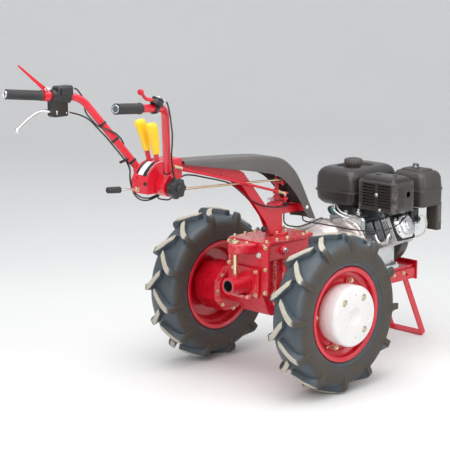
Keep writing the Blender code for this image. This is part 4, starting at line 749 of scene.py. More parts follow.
def fuel_cap():
    cap, ribs = Form(), 18
    stations = [(0.7305, 0.030, 0), (0.744, 0.030, 0), (0.745, 0.0355, 0.6), (0.750, 0.0370, 1),
                (0.764, 0.0362, 1),
                (0.7685, 0.0335, 0.6), (0.7700, 0.0290, 0), (0.7702, 0.0240, 0), (0.7688, 0.0220, 0),
                (0.7688, 0.0060, 0)]
    rings = []
    for z, radius, ribbed in stations:
        turns = [2 * math.pi * k / (ribs * 6) for k in range(ribs * 6)]
        rings.append([Vector((0.552 + math.cos(t) * (radius + 0.0011 * ribbed * math.cos(ribs * t)),
                              0.066 + math.sin(t) * (radius + 0.0011 * ribbed * math.cos(ribs * t)), z))
                      for t in turns])
    cap.skin(rings)
    place(cap, "fuel_cap_ribbed", SHELL, "chassis", "fuel_cap", bevel=0)


GUARD = (0.443, 0.572, -0.240, -0.052)


def guard_shell(inset):
    d = inset
    stations = [(0.594 - d * 2, d, 0.016), (0.708, d, 0.016), (0.7245 - d, 0.018 + d * 0.5, 0.012),
                (0.730 - d, 0.024 + d, 0.010)]
    return stack(stations, GUARD)


def muffler_guard():
    shell = guard_shell(0.0).cut(guard_shell(0.0028))
    slots = Form()
    rear, right = GUARD[0], GUARD[2]
    for row in range(8):
        z = 0.612 + row * 0.0117
        for y0, y1 in ((-0.220, -0.157), (-0.143, -0.080)):
            slots.box((rear - 0.01, y0, z), (rear + 0.012, y1, z + 0.0062))
    for k in range(11):
        y = -0.214 + k * 0.0132
        slots.box((rear + 0.002, y, 0.7115), (rear + 0.018, y + 0.0052, 0.7235))
        slots.box((rear + 0.036, y, 0.722), (rear + 0.0415, y + 0.0085, 0.740))
    for k in range(8):
        x = rear + 0.024 + k * 0.0115
        slots.box((x, right + 0.002, 0.7115), (x + 0.0048, right + 0.018, 0.7235))
        slots.box((x, right + 0.034, 0.722), (x + 0.0085, right + 0.0395, 0.740))
    for row in range(7):
        for column in range(3):
            slots.lathe([(-0.01, 0), (-0.01, 0.0030), (0.01, 0.0030), (0.01, 0)],
                        (rear + 0.030 + column * 0.0115 + (row % 2) * 0.005, right, 0.622 + row * 0.0110),
                        (0, 1, 0), 10)
    slots.lathe([(-0.01, 0), (-0.01, 0.0130), (0.01, 0.0130), (0.01, 0)], (rear + 0.088, right, 0.662),
                (0, 1, 0), 6)
    for x, y in ((0.500, -0.112), (0.522, -0.180)):
        slots.lathe([(-0.02, 0), (-0.02, 0.0125), (0.02, 0.0125), (0.02, 0)], (x, y, 0.728), (0, 0, 1), 24)
    # Some slots overlap. Cutting with them as they are leaves a shell with no faces, so they are joined first.
    shell.cut(Form().combine(slots, "UNION"))
    place(shell, "muffler_guard_pierced", BLACK, "chassis", "muffler_guard", bevel=0)
    blades, tilt = Form(), Matrix.Rotation(math.radians(35), 4, "Y")
    for row in range(8):
        z = 0.6185 + row * 0.0117
        for y0, y1 in ((-0.221, -0.156), (-0.144, -0.079)):
            turn = Matrix.Translation((rear + 0.0045, 0, z)) @ tilt
            blades.box((-0.005, y0, -0.0006), (0.005, y1, 0.0006), turn)
    place(blades, "guard_louvres", BLACK, "chassis", bevel=0)
    muffler = stack([(0.600, 0.014, 0.020), (0.606, 0.008, 0.024), (0.700, 0.008, 0.024),
                     (0.710, 0.016, 0.020)],
                    (0.452, 0.564, -0.232, -0.060))
    place(muffler, "muffler_body", GASKET, "chassis", bevel=0)
    screw = Form()
    screw.bolt((rear, -0.150, 0.659), (-1, 0, 0), 0.0062, 0.007)
    screw.bolt((rear - 0.0004, -0.168, 0.601), (-1, 0, 0), 0.0050, 0.005)
    place(screw, "guard_screws", STEEL, "chassis", bevel=0.0005)


def air_cleaner():
    box = (0.628, 0.768, -0.232, -0.062)
    case = stack([(0.592, 0.004, 0.020), (0.594, 0.001, 0.024), (0.653, 0.000, 0.026), (0.654, -0.003, 0.028),
                  (0.6605, -0.003, 0.028), (0.6615, 0.000, 0.026), (0.706, 0.003, 0.028),
                  (0.720, 0.008, 0.028),
                  (0.7285, 0.016, 0.026), (0.7305, 0.022, 0.022), (0.7312, 0.028, 0.020),
                  (0.7365, 0.031, 0.018),
                  (0.7380, 0.036, 0.016)], box)
    case.add(stack([(0.487, 0.003, 0.005), (0.489, 0.0, 0.006), (0.600, 0.0, 0.006)],
                   (0.734, 0.764, -0.228, -0.170)))
    case.box((0.7405, -0.2300, 0.520), (0.7575, -0.2260, 0.590))
    place(case, "air_cleaner_shell", SHELL, "chassis", "air_cleaner", bevel=0.0012)
    knob = Form().lathe(soft([(0.0, 0.0), (0.0, 0.015), (0.006, 0.014), (0.009, 0.0095), (0.016, 0.0090),
                              (0.019, 0.006),
                              (0.019, 0.0)], 0.002, 3, closed=False), (0.700, -0.140, 0.738), (0, 0, 1), 28)
    knob.box((0.697, -0.154, 0.744), (0.703, -0.126, 0.755))
    place(knob, "air_cleaner_knob", SOOT_METAL, "chassis", bevel=0.0012)
    clip = Form().box((0.7640, -0.226, 0.512), (0.7690, -0.214, 0.524))
    place(clip, "air_cleaner_clip", STEEL, "chassis", bevel=0.0008)


fuel_tank()
fuel_cap()
muffler_guard()
air_cleaner()

# %% [markdown]
# ## Cylinder, head and valve cover
# The cylinder leans up to the right, so it is modelled upright in its own directions and turned into
# place by one matrix. The fins are thin rounded plates round the barrel, and the head has deeper ones.
# Real fins are the only way to get their dark gaps: a bump would look painted on.

# %% Finned cylinder
CRANK_Z, TILT_TURN = 0.430, math.radians(25)
BORE_X = 0.530
LEAN = Matrix(((1, 0, 0, 0), (0, math.sin(TILT_TURN), -math.cos(TILT_TURN), 0),
               (0, math.cos(TILT_TURN), math.sin(TILT_TURN), CRANK_Z), (0, 0, 0, 1)))


def leaning(x, across, along):
    return LEAN @ Vector((x, across, along))


def fin(form, half_x, half_across, low, high, bend=0.012, shift=0.0):
    corners = [(BORE_X - half_x, -half_across + shift), (BORE_X + half_x, -half_across + shift),
               (BORE_X + half_x, half_across + shift), (BORE_X - half_x, half_across + shift)]
    form.slab([(p.x, p.y) for p in soft(corners, bend, 4)], low, high)


def cylinder():
    upright = Form()
    upright.lathe([(0.098, 0), (0.098, 0.043), (0.232, 0.043), (0.232, 0)], (BORE_X, 0, 0), (0, 0, 1), 40)
    for k in range(9):
        low = 0.1125 + k * 0.0084
        fin(upright, 0.0625 - 0.0012 * (k % 2), 0.0555, low, low + 0.0026)
    fin(upright, 0.058, 0.050, 0.1870, 0.1930, 0.008)
    for k in range(3):
        low = 0.1965 + k * 0.0082
        fin(upright, 0.0635, 0.0555, low, low + 0.0030)
    fin(upright, 0.060, 0.052, 0.2185, 0.2340, 0.010)
    for dx, dv in ((-0.050, -0.042), (0.050, -0.042), (0.050, 0.042), (-0.050, 0.042)):
        upright.lathe([(0.180, 0), (0.180, 0.0085), (0.2350, 0.0085), (0.2350, 0)], (BORE_X + dx, dv, 0),
                      (0, 0, 1), 16)
    form = Form().add(upright, LEAN)
    place(form, "cylinder_finned", ALUMINIUM, "chassis", "cylinder", bevel=0.0004,
          segments=1)
    shroud = Form()
    shroud.box((BORE_X - 0.072, -0.026, 0.163), (BORE_X - 0.060, 0.052, 0.1905))
    shroud.box((BORE_X - 0.070, 0.010, 0.118), (BORE_X + 0.050, 0.0570, 0.150))
    place(Form().add(shroud, LEAN), "cylinder_shroud", SOOT_METAL, "chassis", bevel=0.0035, segments=3)
    gasket = Form()
    fin(gasket, 0.0565, 0.0535, 0.2335, 0.2362, 0.010)
    place(Form().add(gasket, LEAN), "cover_gasket", GASKET, "chassis", bevel=0)
    elbow = curve_through([leaning(BORE_X - 0.071, 0.000, 0.152), leaning(BORE_X - 0.073, -0.016, 0.153),
                           leaning(BORE_X - 0.074, -0.034, 0.160), leaning(BORE_X - 0.074, -0.043, 0.176),
                           leaning(BORE_X - 0.073, -0.040, 0.194), leaning(BORE_X - 0.068, -0.026, 0.207),
                           leaning(BORE_X - 0.058, -0.016, 0.212)], 24)
    place(Form().sweep(elbow, 0.0062, 14), "bright_elbow", STEEL, "chassis", bevel=0)


def valve_cover():
    upright = Form()
    seat = 0.2364
    outline = soft([(-0.030, -0.0475), (0.030, -0.0475), (0.0495, -0.026), (0.0495, 0.026), (0.030, 0.0475),
                    (-0.030, 0.0475),
                    (-0.0495, 0.026), (-0.0495, -0.026)], 0.006, 3)
    rings = []
    for along, grow in ((0.0, 1.0), (0.0085, 1.0), (0.0095, 0.98), (0.0100, 0.94), (0.0190, 0.86),
                        (0.0215, 0.82)):
        rings.append([Vector((BORE_X + p.x * grow, p.y * grow, seat + along)) for p in outline])
    upright.skin(rings)
    dome = soft([(0.018, 0.0), (0.018, 0.0345), (0.0255, 0.0315), (0.0275, 0.0250), (0.0275, 0.0170),
                 (0.0335, 0.0145),
                 (0.0360, 0.0090), (0.0345, 0.0)], 0.0016, 3, closed=False)
    upright.lathe([(seat + a, r) for a, r in dome], (BORE_X, 0, 0), (0, 0, 1), 40)
    for dx, dv in ((-0.040, -0.032), (0.040, -0.032), (0.040, 0.032), (-0.040, 0.032)):
        upright.bolt((BORE_X + dx, dv, seat + 0.009), (0, 0, 1), 0.0042, 0.006)
    place(Form().add(upright, LEAN), "valve_cover_pressed", STEEL, "chassis", "valve_cover",
          bevel=0.0008)


cylinder()
valve_cover()

# %% [markdown]
# ## Carburettor and the small things round the block
# Small parts in a crowd read as real when each one is a plausible shape in its own metal: a turned float
# bowl with a drain screw, a throttle arm with a spring, a pale fuel hose, and studs with nuts.

# %% Carburettor and fittings
def carburettor():
    side, centre = BORE_X + 0.0644, leaning(0, 0, 0.180)
    y, z = centre.y, centre.z
    body = Form()
    body.box((side, y - 0.022, z - 0.020), (side + 0.012, y + 0.022, z + 0.022))
    body.lathe(soft([(0.010, 0.0), (0.010, 0.017), (0.024, 0.019), (0.050, 0.019), (0.056, 0.022),
                     (0.0655, 0.022),
                     (0.0655, 0.0)], 0.003, 3, closed=False), (side, y, z), (1, 0, 0), 28)
    body.box((side + 0.018, y - 0.026, z - 0.014), (side + 0.050, y + 0.024, z + 0.010))
    body.box((side + 0.0405, y - 0.019, z), (side + 0.0595, y + 0.019, 0.5915))
    place(body, "carburettor_body", ALUMINIUM, "chassis", "carburettor", bevel=0.0018,
          segments=3)
    bowl = Form().lathe(soft([(-0.062, 0.0), (-0.062, 0.0050), (-0.057, 0.0055), (-0.056, 0.0150),
                              (-0.050, 0.0215), (-0.020, 0.0230),
                              (-0.016, 0.0245), (-0.010, 0.0245), (-0.010, 0.0)], 0.0022, 3, closed=False),
                        (side + 0.034, y, z), (0, 0, 1), 32)
    bowl.bolt((side + 0.034, y, z - 0.056), (0, 0, -1), 0.0052, 0.006)
    place(bowl, "float_bowl", BRASS, "chassis", bevel=0.0006)
    arm = Form()
    arm.box((side + 0.016, y - 0.046, z + 0.020), (side + 0.030, y - 0.018, z + 0.0225))
    arm.box((side + 0.018, y - 0.0480, z - 0.004), (side + 0.034, y - 0.0455, z + 0.0225))
    arm.lathe([(0, 0), (0, 0.0045), (0.022, 0.0045), (0.022, 0)], (side + 0.026, y - 0.024, z + 0.010),
              (0, 0, 1), 14)
    for spot in ((side + 0.010, y - 0.036, z + 0.004), (side + 0.046, y - 0.032, z - 0.002),
                 (side + 0.056, y - 0.030, z + 0.020)):
        arm.lathe([(0, 0), (0, 0.0058), (0.010, 0.0052), (0.011, 0)], spot, (0, -1, 0.2), 14)
    place(arm, "throttle_linkage", STEEL, "chassis", bevel=0.0006)
    spring = [Vector((side - 0.004 + 0.0035 * math.cos(t), y - 0.046 + t * 0.0006,
                      z + 0.026 + 0.0035 * math.sin(t)))
              for t in (k * 0.5 for k in range(110))]
    place(Form().sweep(spring, 0.0007, 6), "throttle_spring", STEEL, "chassis", bevel=0)
    choke = Form().box((side + 0.004, y - 0.040, z + 0.026), (side + 0.052, y - 0.006, 0.5880))
    choke.lathe([(0, 0), (0, 0.010), (0.016, 0.009), (0.016, 0)], (side + 0.040, y - 0.038, z + 0.040),
                (0, -1, 0), 20)
    place(choke, "choke_housing", BLACK_PLASTIC, "chassis", bevel=0.0025, segments=3)
    hose = curve_through([(side + 0.030, y - 0.034, z + 0.034), (side + 0.056, y - 0.050, z + 0.052),
                          (side + 0.082, y - 0.052, z + 0.036),
                          (side + 0.094, y - 0.046, z + 0.002), (side + 0.088, y - 0.036, z - 0.030),
                          (side + 0.060, y - 0.022, z - 0.040)], 36)
    place(Form().sweep(hose, 0.0034, 12), "fuel_hose", HOSE, "chassis", bevel=0)


def block_fittings():
    steel, dark = Form(), Form()
    for x, y in ((0.470, -0.094), (0.640, -0.094), (0.470, 0.114), (0.640, 0.114)):
        steel.bolt((x, y, 0.341), (0, 0, 1), 0.0070, 0.010)
    steel.lathe([(0, 0), (0, 0.011), (0.018, 0.0105), (0.021, 0.006), (0.030, 0.006), (0.030, 0)],
                (0.452, -0.052, 0.560), (0, 0, 1), 20)
    steel.lathe([(0, 0), (0, 0.008), (0.020, 0.008), (0.020, 0)], (0.448, 0.010, 0.556), (0, 0, 1), 18)
    place(steel, "engine_studs", STEEL, "chassis", bevel=0.0006)
    pipes = Form()
    pipes.sweep(curve_through([(0.440, 0.075, 0.588), (0.428, 0.062, 0.580), (0.424, 0.040, 0.566),
                               (0.430, 0.010, 0.553), (0.446, -0.012, 0.545)], 20),
                0.0048, 12)
    pipes.sweep(curve_through([(0.446, 0.058, 0.590), (0.436, 0.040, 0.578), (0.436, 0.018, 0.566),
                               (0.444, -0.004, 0.560)], 16), 0.0036, 12)
    pipes.box((0.4405, -0.075, 0.530), (0.4460, 0.020, 0.556))
    place(pipes, "governor_linkage", ALUMINIUM, "chassis", bevel=0.0010)
    dark.lathe(soft([(0.0, 0.0), (0.0, 0.012), (0.018, 0.013), (0.026, 0.009), (0.026, 0.0)], 0.002, 3,
                    closed=False),
               (0.448, 0.086, 0.558), (-0.4, 0.1, 0.9), 20)
    dark.sweep(curve_through([(0.452, -0.030, 0.588), (0.440, -0.040, 0.574), (0.446, -0.066, 0.560),
                              (0.470, -0.088, 0.566)], 20), 0.0030, 10)
    place(dark, "fuel_tap", BLACK_PLASTIC, "chassis", bevel=0.0008)
    teal = moulded("teal_filter", (0.03, 0.16, 0.14), (0.06, 0.26, 0.22), 0.3)
    strainer = Form().lathe(soft([(0.0, 0.0), (0.0, 0.0085), (0.020, 0.0085), (0.024, 0.005), (0.024, 0.0)],
                                 0.002, 3, closed=False),
                            (0.430, 0.056, 0.560), (-0.2, 0.3, 0.8), 20)
    place(strainer, "fuel_strainer", teal, "chassis", bevel=0)


def clutch_housing():
    start, end = 0.1504, 0.4396
    profile = soft([(start, 0.0), (start, 0.098), (start + 0.012, 0.108), (0.235, 0.116), (0.290, 0.1335),
                    (0.318, 0.1335),
                    (0.322, 0.128), (0.330, 0.104), (end - 0.018, 0.100), (end - 0.014, 0.120),
                    (end, 0.120), (end, 0.0)],
                   0.005, 3, closed=False)
    bell = Form().lathe(profile, (0, 0, CRANK_Z), (1, 0, 0), 72)
    for k in range(12):
        turn = math.radians(15 + 30 * k)
        out = Vector((0, math.sin(turn), math.cos(turn)))
        across = Vector((0, math.cos(turn), -math.sin(turn)))
        foot, head = Vector((0.175, 0, CRANK_Z)), Vector((0.292, 0, CRANK_Z))
        rings = [[foot + out * 0.100 - across * 0.0035, foot + out * 0.113 - across * 0.0025,
                  foot + out * 0.113 + across * 0.0025,
                  foot + out * 0.100 + across * 0.0035],
                 [head + out * 0.120 - across * 0.0035, head + out * 0.1375 - across * 0.0025,
                  head + out * 0.1375 + across * 0.0025,
                  head + out * 0.120 + across * 0.0035]]
        bell.skin(rings)
    place(bell, "clutch_bell", HOUSING_METAL, "chassis", "clutch_housing", bevel=0.0012,
          segments=2)
    bolts = Form()
    for k in range(12):
        turn = math.radians(30 * k)
        y, z = math.sin(turn), math.cos(turn)
        bolts.bolt((0.290, y * 0.1260, CRANK_Z + z * 0.1260), (-1, 0, 0), 0.0052, 0.007)
        bolts.bolt((end - 0.014, y * 0.111, CRANK_Z + z * 0.111), (-1, 0, 0), 0.0052, 0.007)
    place(bolts, "clutch_bell_bolts", STEEL, "chassis", bevel=0.0005)


carburettor()
block_fittings()
clutch_housing()
dress("engine_block", "crankcase", ALUMINIUM, 0.006, 4)
dress("exhaust_pipe", "exhaust_elbow", SOOT_METAL, 0.002, 3)
dress("tank_bracket", "tank_bracket_bent", BLACK, 0.002, 3)
print("carburettor, clutch bell and block:", sum(triangles.values()), "faces so far")

# %% [markdown]
# ## Recoil starter
# The starter's cover is round, so it is one turned profile. Its ring of cooling slots is cut with twenty
# wedge-shaped cutters in a single Boolean. The pull handle is a short sweep. This side of the real engine
# isn't known, so the cover has the form that is usual for such engines.

# %% Recoil starter
def recoil_starter():
    start, centre = 0.6554, (0.0, 0.010, CRANK_Z + 0.018)
    profile = soft([(start, 0.0), (start, 0.1215), (start + 0.050, 0.1215), (start + 0.057, 0.102),
                    (start + 0.085, 0.096),
                    (start + 0.095, 0.084), (start + 0.0955, 0.0)], 0.006, 4, closed=False)
    cover = Form().lathe(profile, centre, (1, 0, 0), 64)
    vents = Form()
    for k in range(20):
        turn = 2 * math.pi * k / 20
        out = Vector((0, math.sin(turn), math.cos(turn)))
        across = Vector((0, math.cos(turn), -math.sin(turn)))
        middle = Vector(centre) + Vector((start + 0.096, 0, 0))
        rings = [[middle + out * r + across * w + Vector((x, 0, 0))
                  for r, w in ((0.034, -0.003), (0.076, -0.005), (0.076, 0.005), (0.034, 0.003))]
                 for x in (-0.006, 0.01)]
        vents.skin(rings)
    cover.cut(vents)
    place(cover, "recoil_cover", BLACK, "chassis", "recoil_starter", bevel=0.001)
    pull = Form().sweep(curve_through([(start + 0.086, 0.085, CRANK_Z + 0.085),
                                       (start + 0.088, 0.100, CRANK_Z + 0.100)], 4), 0.010, 16)
    pull.sweep([(start + 0.088, 0.079, CRANK_Z + 0.115), (start + 0.088, 0.125, CRANK_Z + 0.085)], 0.008, 16)
    place(pull, "recoil_handle", BLACK_PLASTIC, "chassis", bevel=0.002)


recoil_starter()
print("engine and wheels:", sum(triangles.values()), "faces")

# %% [markdown]
# ## Gearbox, drives and hitch
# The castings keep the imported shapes, boxier than the real ones, and each is dressed with a wide soft
# bevel for the rounding that a sand mould leaves. Bolts, plugs and ribs stand where such castings usually
# have them. Most are a guess: the real machine's own rows aren't known.

# %% Gearbox
LID_TOP, SHELF_TOP, FLANGE_REAR, CASTING_HALF_WIDTH = 0.541, 0.536, -0.125, 0.087
HITCH_REAR, HITCH_Z, HITCH_FACE, PIN_X = -0.2275, 0.378, -0.1394, -0.188
POST_X, POST_FLANGE_TOP, NOSE_FRONT = 0.033, 0.5512, 0.765


def bolt_row(form, spots, axis, size=0.0068, height=0.009):
    for spot in spots:
        form.bolt(spot, axis, size, height)


def gearbox():
    ribs = Form()
    for x in (-0.060, -0.010, 0.040):
        for side in (-1, 1):
            ribs.box((x - 0.003, side * 0.070, 0.290), (x + 0.003, side * 0.0865, 0.470))
    ribs.lathe(soft([(0.0, 0.0), (0.0, 0.020), (0.006, 0.019), (0.010, 0.014), (0.010, 0.0)], 0.003, 3,
                    closed=False),
               (-0.020, -CASTING_HALF_WIDTH, 0.500), (0, -1, 0), 24)
    dress("gearbox_casing", "gearbox_casting", CASTING, 0.0045, 3, ribs)
    bolts = Form()
    bolt_row(bolts, [(x, side * 0.084, LID_TOP) for x in (-0.108, -0.052, 0.004, 0.092) for side in (-1, 1)]
             + [(0.136, y, LID_TOP) for y in (-0.062, 0.0, 0.062)], (0, 0, 1))
    bolt_row(bolts, [(-0.160, y, SHELF_TOP) for y in (-0.032, 0.034)], (0, 0, 1), 0.0062)
    bolt_row(bolts, [(FLANGE_REAR, side * 0.096, z) for z in (0.352, 0.440, 0.524) for side in (-1, 1)],
             (-1, 0, 0))
    place(bolts, "gearbox_bolts", ZINC, "chassis", bevel=0.0006)
    plug = Form().bolt((FLANGE_REAR, -0.060, 0.490), (-1, 0, 0), 0.0095, 0.010)
    plug.bolt((-0.020, -0.0966, 0.500), (0, -1, 0), 0.0085, 0.008)
    place(plug, "oil_plugs", STEEL, "chassis", bevel=0.0006)


def hitch():
    dress("hitch_bracket", "hitch_casting", CASTING, 0.0030, 3)
    bolts = Form()
    bolt_row(bolts, [(HITCH_FACE, side * 0.058, z) for z in (0.338, 0.428) for side in (-1, 1)], (-1, 0, 0))
    place(bolts, "hitch_bolts", ZINC, "chassis", bevel=0.0006)
    liner = Form().lathe([(HITCH_REAR, 0.0234), (HITCH_REAR, 0.0216), (-0.150, 0.0216), (-0.150, 0.0234)],
                         (0, 0, HITCH_Z), (1, 0, 0), 40, closed=True)
    place(liner, "hitch_liner", SOOT_METAL, "chassis", bevel=0)
    bottom, head = 0.4025, SHELF_TOP + 0.0005
    pin = Form().lathe(soft([(bottom, 0.0), (bottom, 0.0085), (head, 0.0088), (head, 0.0150),
                             (head + 0.009, 0.0150),
                             (head + 0.011, 0.0120), (head + 0.011, 0.0)], 0.0018, 3, closed=False),
                       (PIN_X, 0, 0), (0, 0, 1), 32)
    place(pin, "hitch_pin_turned", ZINC, "chassis", "hitch_pin", bevel=0)


def final_drives():
    for side, word in ((1, "left"), (-1, "right")):
        dress(f"{word}_final_drive", f"{word}_drive_casting", CASTING, 0.0040, 3)
        bolts = Form()
        for k in range(8):
            turn = math.radians(45 * k)
            bolts.bolt((0.083 * math.cos(turn), side * 0.2035, TYRE_R + 0.083 * math.sin(turn)),
                       (0, -side, 0), 0.0060, 0.008)
        place(bolts, f"{word}_drive_bolts", ZINC, "chassis", bevel=0.0006)


gearbox()
hitch()
final_drives()
for plain in ("engine_plate", "left_frame_rail", "right_frame_rail", "front_plate", "parking_stand"):
    dress(plain, plain + "_sheet", ENAMEL, 0.0014, 2)
nose_bolts = Form()
bolt_row(nose_bolts, [(NOSE_FRONT, side * 0.092, z) for z in (0.278, 0.324) for side in (-1, 1)], (1, 0, 0),
         0.0062, 0.007)
for side in (1, -1):
    bolt_row(nose_bolts, [(x, side * 0.104, 0.298) for x in (0.620, 0.680)], (0, side, 0), 0.0062, 0.007)
place(nose_bolts, "frame_bolts", ZINC, "chassis", bevel=0.0006)
print("castings and frame:", sum(triangles.values()), "faces so far")

# %% [markdown]
# ## Column, hood and console
# The hood is a channel of thin sheet with soft top edges. It is skinned through stations: each has a
# point on the top line and one on the lower edge, and carries the same U-shaped section. That gives the
# rounding that a flat extrusion could not.

# %% Hood and column
HOOD_LINE = [((-0.4895, 0.8855), (-0.4895, 0.8720)), ((-0.410, 0.881), (-0.415, 0.8585)),
             ((-0.250, 0.872), (-0.262, 0.8305)),
             ((-0.120, 0.863), (-0.140, 0.8080)), ((-0.050, 0.855), (-0.075, 0.7945)),
             ((0.000, 0.845), (-0.030, 0.7830)),
             ((0.032, 0.832), (0.003, 0.7685)), ((0.060, 0.812), (0.030, 0.7500)),
             ((0.091, 0.783), (0.058, 0.7260)),
             ((0.117, 0.747), (0.085, 0.6980)), ((0.140, 0.707), (0.110, 0.6660)),
             ((0.170, 0.652), (0.135, 0.6250)),
             ((0.207, 0.583), (0.163, 0.5910))]


def hood():
    half, sheet, bend = 0.050, 0.003, 0.012
    tops = curve_through([(t[0], 0, t[1]) for t, _ in HOOD_LINE], 64)
    lows = curve_through([(b[0], 0, b[1]) for _, b in HOOD_LINE], 64)
    rings = []
    for top, low in zip(tops, lows):
        depth = (low - top).length
        down = (low - top) / depth
        r = min(bend, depth * 0.6)

        def section(w, sink, radius):
            points = [(w, depth)]
            for k in range(7):
                a = math.pi / 2 * k / 6
                points.append((w - radius + radius * math.cos(a), sink + radius - radius * math.sin(a)))
            return points + [(-y, d) for y, d in reversed(points)]

        outline = section(half, 0.0, r) + section(half - sheet, sheet, max(r - sheet, 0.002))[::-1]
        rings.append([top + down * d + Vector((0, y, 0)) for y, d in outline])
    place(Form().skin(rings), "hood_moulded", HOOD, "column", "column_cover", bevel=0.0005,
          segments=2, crease=50)
    rivets = Form()
    for side in (-1, 1):
        rivets.lathe([(0, 0), (0, 0.0075), (0.0018, 0.0068), (0.0030, 0.0040), (0.0032, 0)],
                     (0.150, side * 0.050, 0.636), (0, side, 0), 24)
    place(rivets, "hood_rivets", BLANK_LABEL, "column", bevel=0)


def column():
    dress("steering_column", "column_pressed", ENAMEL, 0.0016, 3)
    dress("column_post", "kingpost", CASTING, 0.0016, 3)
    bolts = Form()
    for degrees in (45, 135, 225, 315):
        turn = math.radians(degrees)
        bolts.bolt((POST_X + 0.034 * math.cos(turn), 0.034 * math.sin(turn), POST_FLANGE_TOP), (0, 0, 1),
                   0.0060, 0.008)
    place(bolts, "kingpost_bolts", ZINC, "chassis", bevel=0.0006)
    place(from_cad("column_lock_knob"), "column_lock_ball", BLACK_PLASTIC, "column", "column_lock_knob",
          bevel=0, levels=2, crease=60)
    dress("selector_levers", "selector_stack", ENAMEL, 0.0012, 2)
    heads = Form()
    for y, z in ((0.0, 0.7645), (-0.030, 0.7635), (-0.0435, 0.6955)):
        heads.bolt((POST_X, y, z), (0, 0, 1), 0.0055, 0.006, washer=False)
    heads.bolt((0.020, -0.012, 0.7105), (-1, -0.3, 0), 0.0050, 0.008)
    heads.lathe([(0, 0), (0, 0.0042), (0.034, 0.0042), (0.034, 0)], (0.012, -0.006, 0.684), (-1, 0, 0), 16)
    place(heads, "selector_bolts", STEEL, "column", bevel=0.0005)


SHIFT_FROM, SHIFT_TO = Vector((-0.534, -0.046, 0.8705)), Vector((0.0228, -0.046, 0.7074))


def lock_line(x):
    return Vector((x, -0.030, 0.7585 - 0.0490 * x))


def rods():
    axis = (SHIFT_TO - SHIFT_FROM).normalized()
    rod = Form().sweep([SHIFT_FROM + axis * 0.020, SHIFT_TO - axis * 0.026], 0.0048, 16)
    place(rod, "shift_rod_drawn", ENAMEL, "column", "shift_rod", bevel=0)
    forks = Form()
    for end, way in ((SHIFT_FROM, 1), (SHIFT_TO, -1)):
        start = end + axis * way * 0.004
        forks.sweep([start, start + axis * way * 0.022], 0.0062, 8)
        forks.sweep([start + axis * way * 0.022, start + axis * way * 0.029], 0.0075, 6)
        forks.lathe([(-0.0065, 0), (-0.0065, 0.0056), (0.0062, 0.0056), (0.0062, 0)], end, (0, 1, 0.02), 20)
    place(forks, "shift_rod_forks", ZINC, "column", bevel=0.0006)
    thread = [lock_line(-0.600 + k * 0.0012) for k in range(int((0.600 + 0.0269) / 0.0012))]
    radii = [0.0037 + 0.00028 * (k % 2) for k in range(len(thread))]
    place(Form().sweep(thread, radii, 12), "lock_rod_drawn", ZINC, "column", "lock_rod",
          bevel=0, crease=80)


hood()
column()
rods()
print("hood and column:", sum(triangles.values()), "faces so far")

# %% [markdown]
# ## Console, levers and knobs
# The console is a box whose rear face is curved, so that the two levers can swing over it. The slot
# plates and the pale scale are thin strips that follow that curve: each strip is skinned through points
# of the same curve, lifted off by a fraction of a millimetre. The knobs are moulded, so they are skinned
# through rounded sections that grow towards the top.

# %% Console
CONSOLE_REAR = [(-0.6585, 0.785), (-0.6600, 0.812), (-0.6575, 0.840), (-0.6480, 0.858), (-0.6340, 0.873),
                (-0.6160, 0.886), (-0.5950, 0.893), (-0.5730, 0.896)]


def along_console(y0, y1, first, last, lift, thick, name, finish, bevel=0.0004):
    """A thin strip that follows the console's curved rear face between two shares of its length."""
    line = curve_through([(x, 0, z) for x, z in CONSOLE_REAR], 60)[int(first * 59):int(last * 59) + 1]
    rings = []
    for i, point in enumerate(line):
        ahead = (line[min(i + 1, len(line) - 1)] - line[max(i - 1, 0)]).normalized()
        out = Vector((-ahead.z, 0, ahead.x))
        low, high = point + out * lift, point + out * (lift + thick)
        rings.append([Vector((p.x, y, p.z)) for p, y in ((low, y0), (low, y1), (high, y1), (high, y0))])
    return place(Form().skin(rings), name, finish, "column", bevel=bevel)


def console():
    dress("console", "console_box", ENAMEL, 0.0045, 4)
    along_console(-0.0105, 0.0150, 0.36, 0.80, -0.0005, 0.0012, "console_label", BLANK_LABEL)
    along_console(-0.0310, -0.0120, 0.34, 0.96, -0.0005, 0.0014, "drive_slot_plate", BLACK_PLASTIC)
    along_console(0.0160, 0.0270, 0.40, 0.96, -0.0005, 0.0014, "shift_slot_plate", BLACK_PLASTIC)
    for y in (-0.0325, -0.0115):
        along_console(y, y + 0.0012, 0.34, 0.96, -0.0005, 0.0018,
                      f"slot_edge_{'left' if y > -0.02 else 'right'}", STEEL)
    boss = Form().lathe(soft([(0.0, 0.0), (0.0, 0.0085), (0.005, 0.0080), (0.007, 0.0040), (0.007, 0.0)],
                             0.0015, 3, closed=False),
                        (-0.6560, 0.022, 0.842), (-0.94, 0, 0.34), 24)
    place(boss, "console_bolt", ENAMEL, "column", bevel=0)
    square = Form().box((-0.6625, -0.0355, 0.815), (-0.6570, -0.0225, 0.828))
    place(square, "console_switch", BLACK_PLASTIC, "column", bevel=0.0015)
    start, end = Vector((-0.790, 0.0203, 0.8095)), Vector((-0.632, 0.0115, 0.7965))
    way = (end - start).normalized()
    nut = Form().bolt(start.lerp(end, 0.838), -way, 0.0085, 0.010)
    place(nut, "lock_rod_nut", ZINC, "column", bevel=0.0006)
    hand = Form().lathe(soft([(0.0, 0.0), (0.0, 0.0112), (0.056, 0.0118), (0.056, 0.0)], 0.0045, 5,
                             closed=False), start, way, 32)
    place(hand, "lock_handle_grip", GRIP, "column", "lock_handle", bevel=0)
    place(Form().sweep([start + way * 0.050, end], 0.0040, 14), "lock_handle_rod", STEEL, "column", bevel=0)


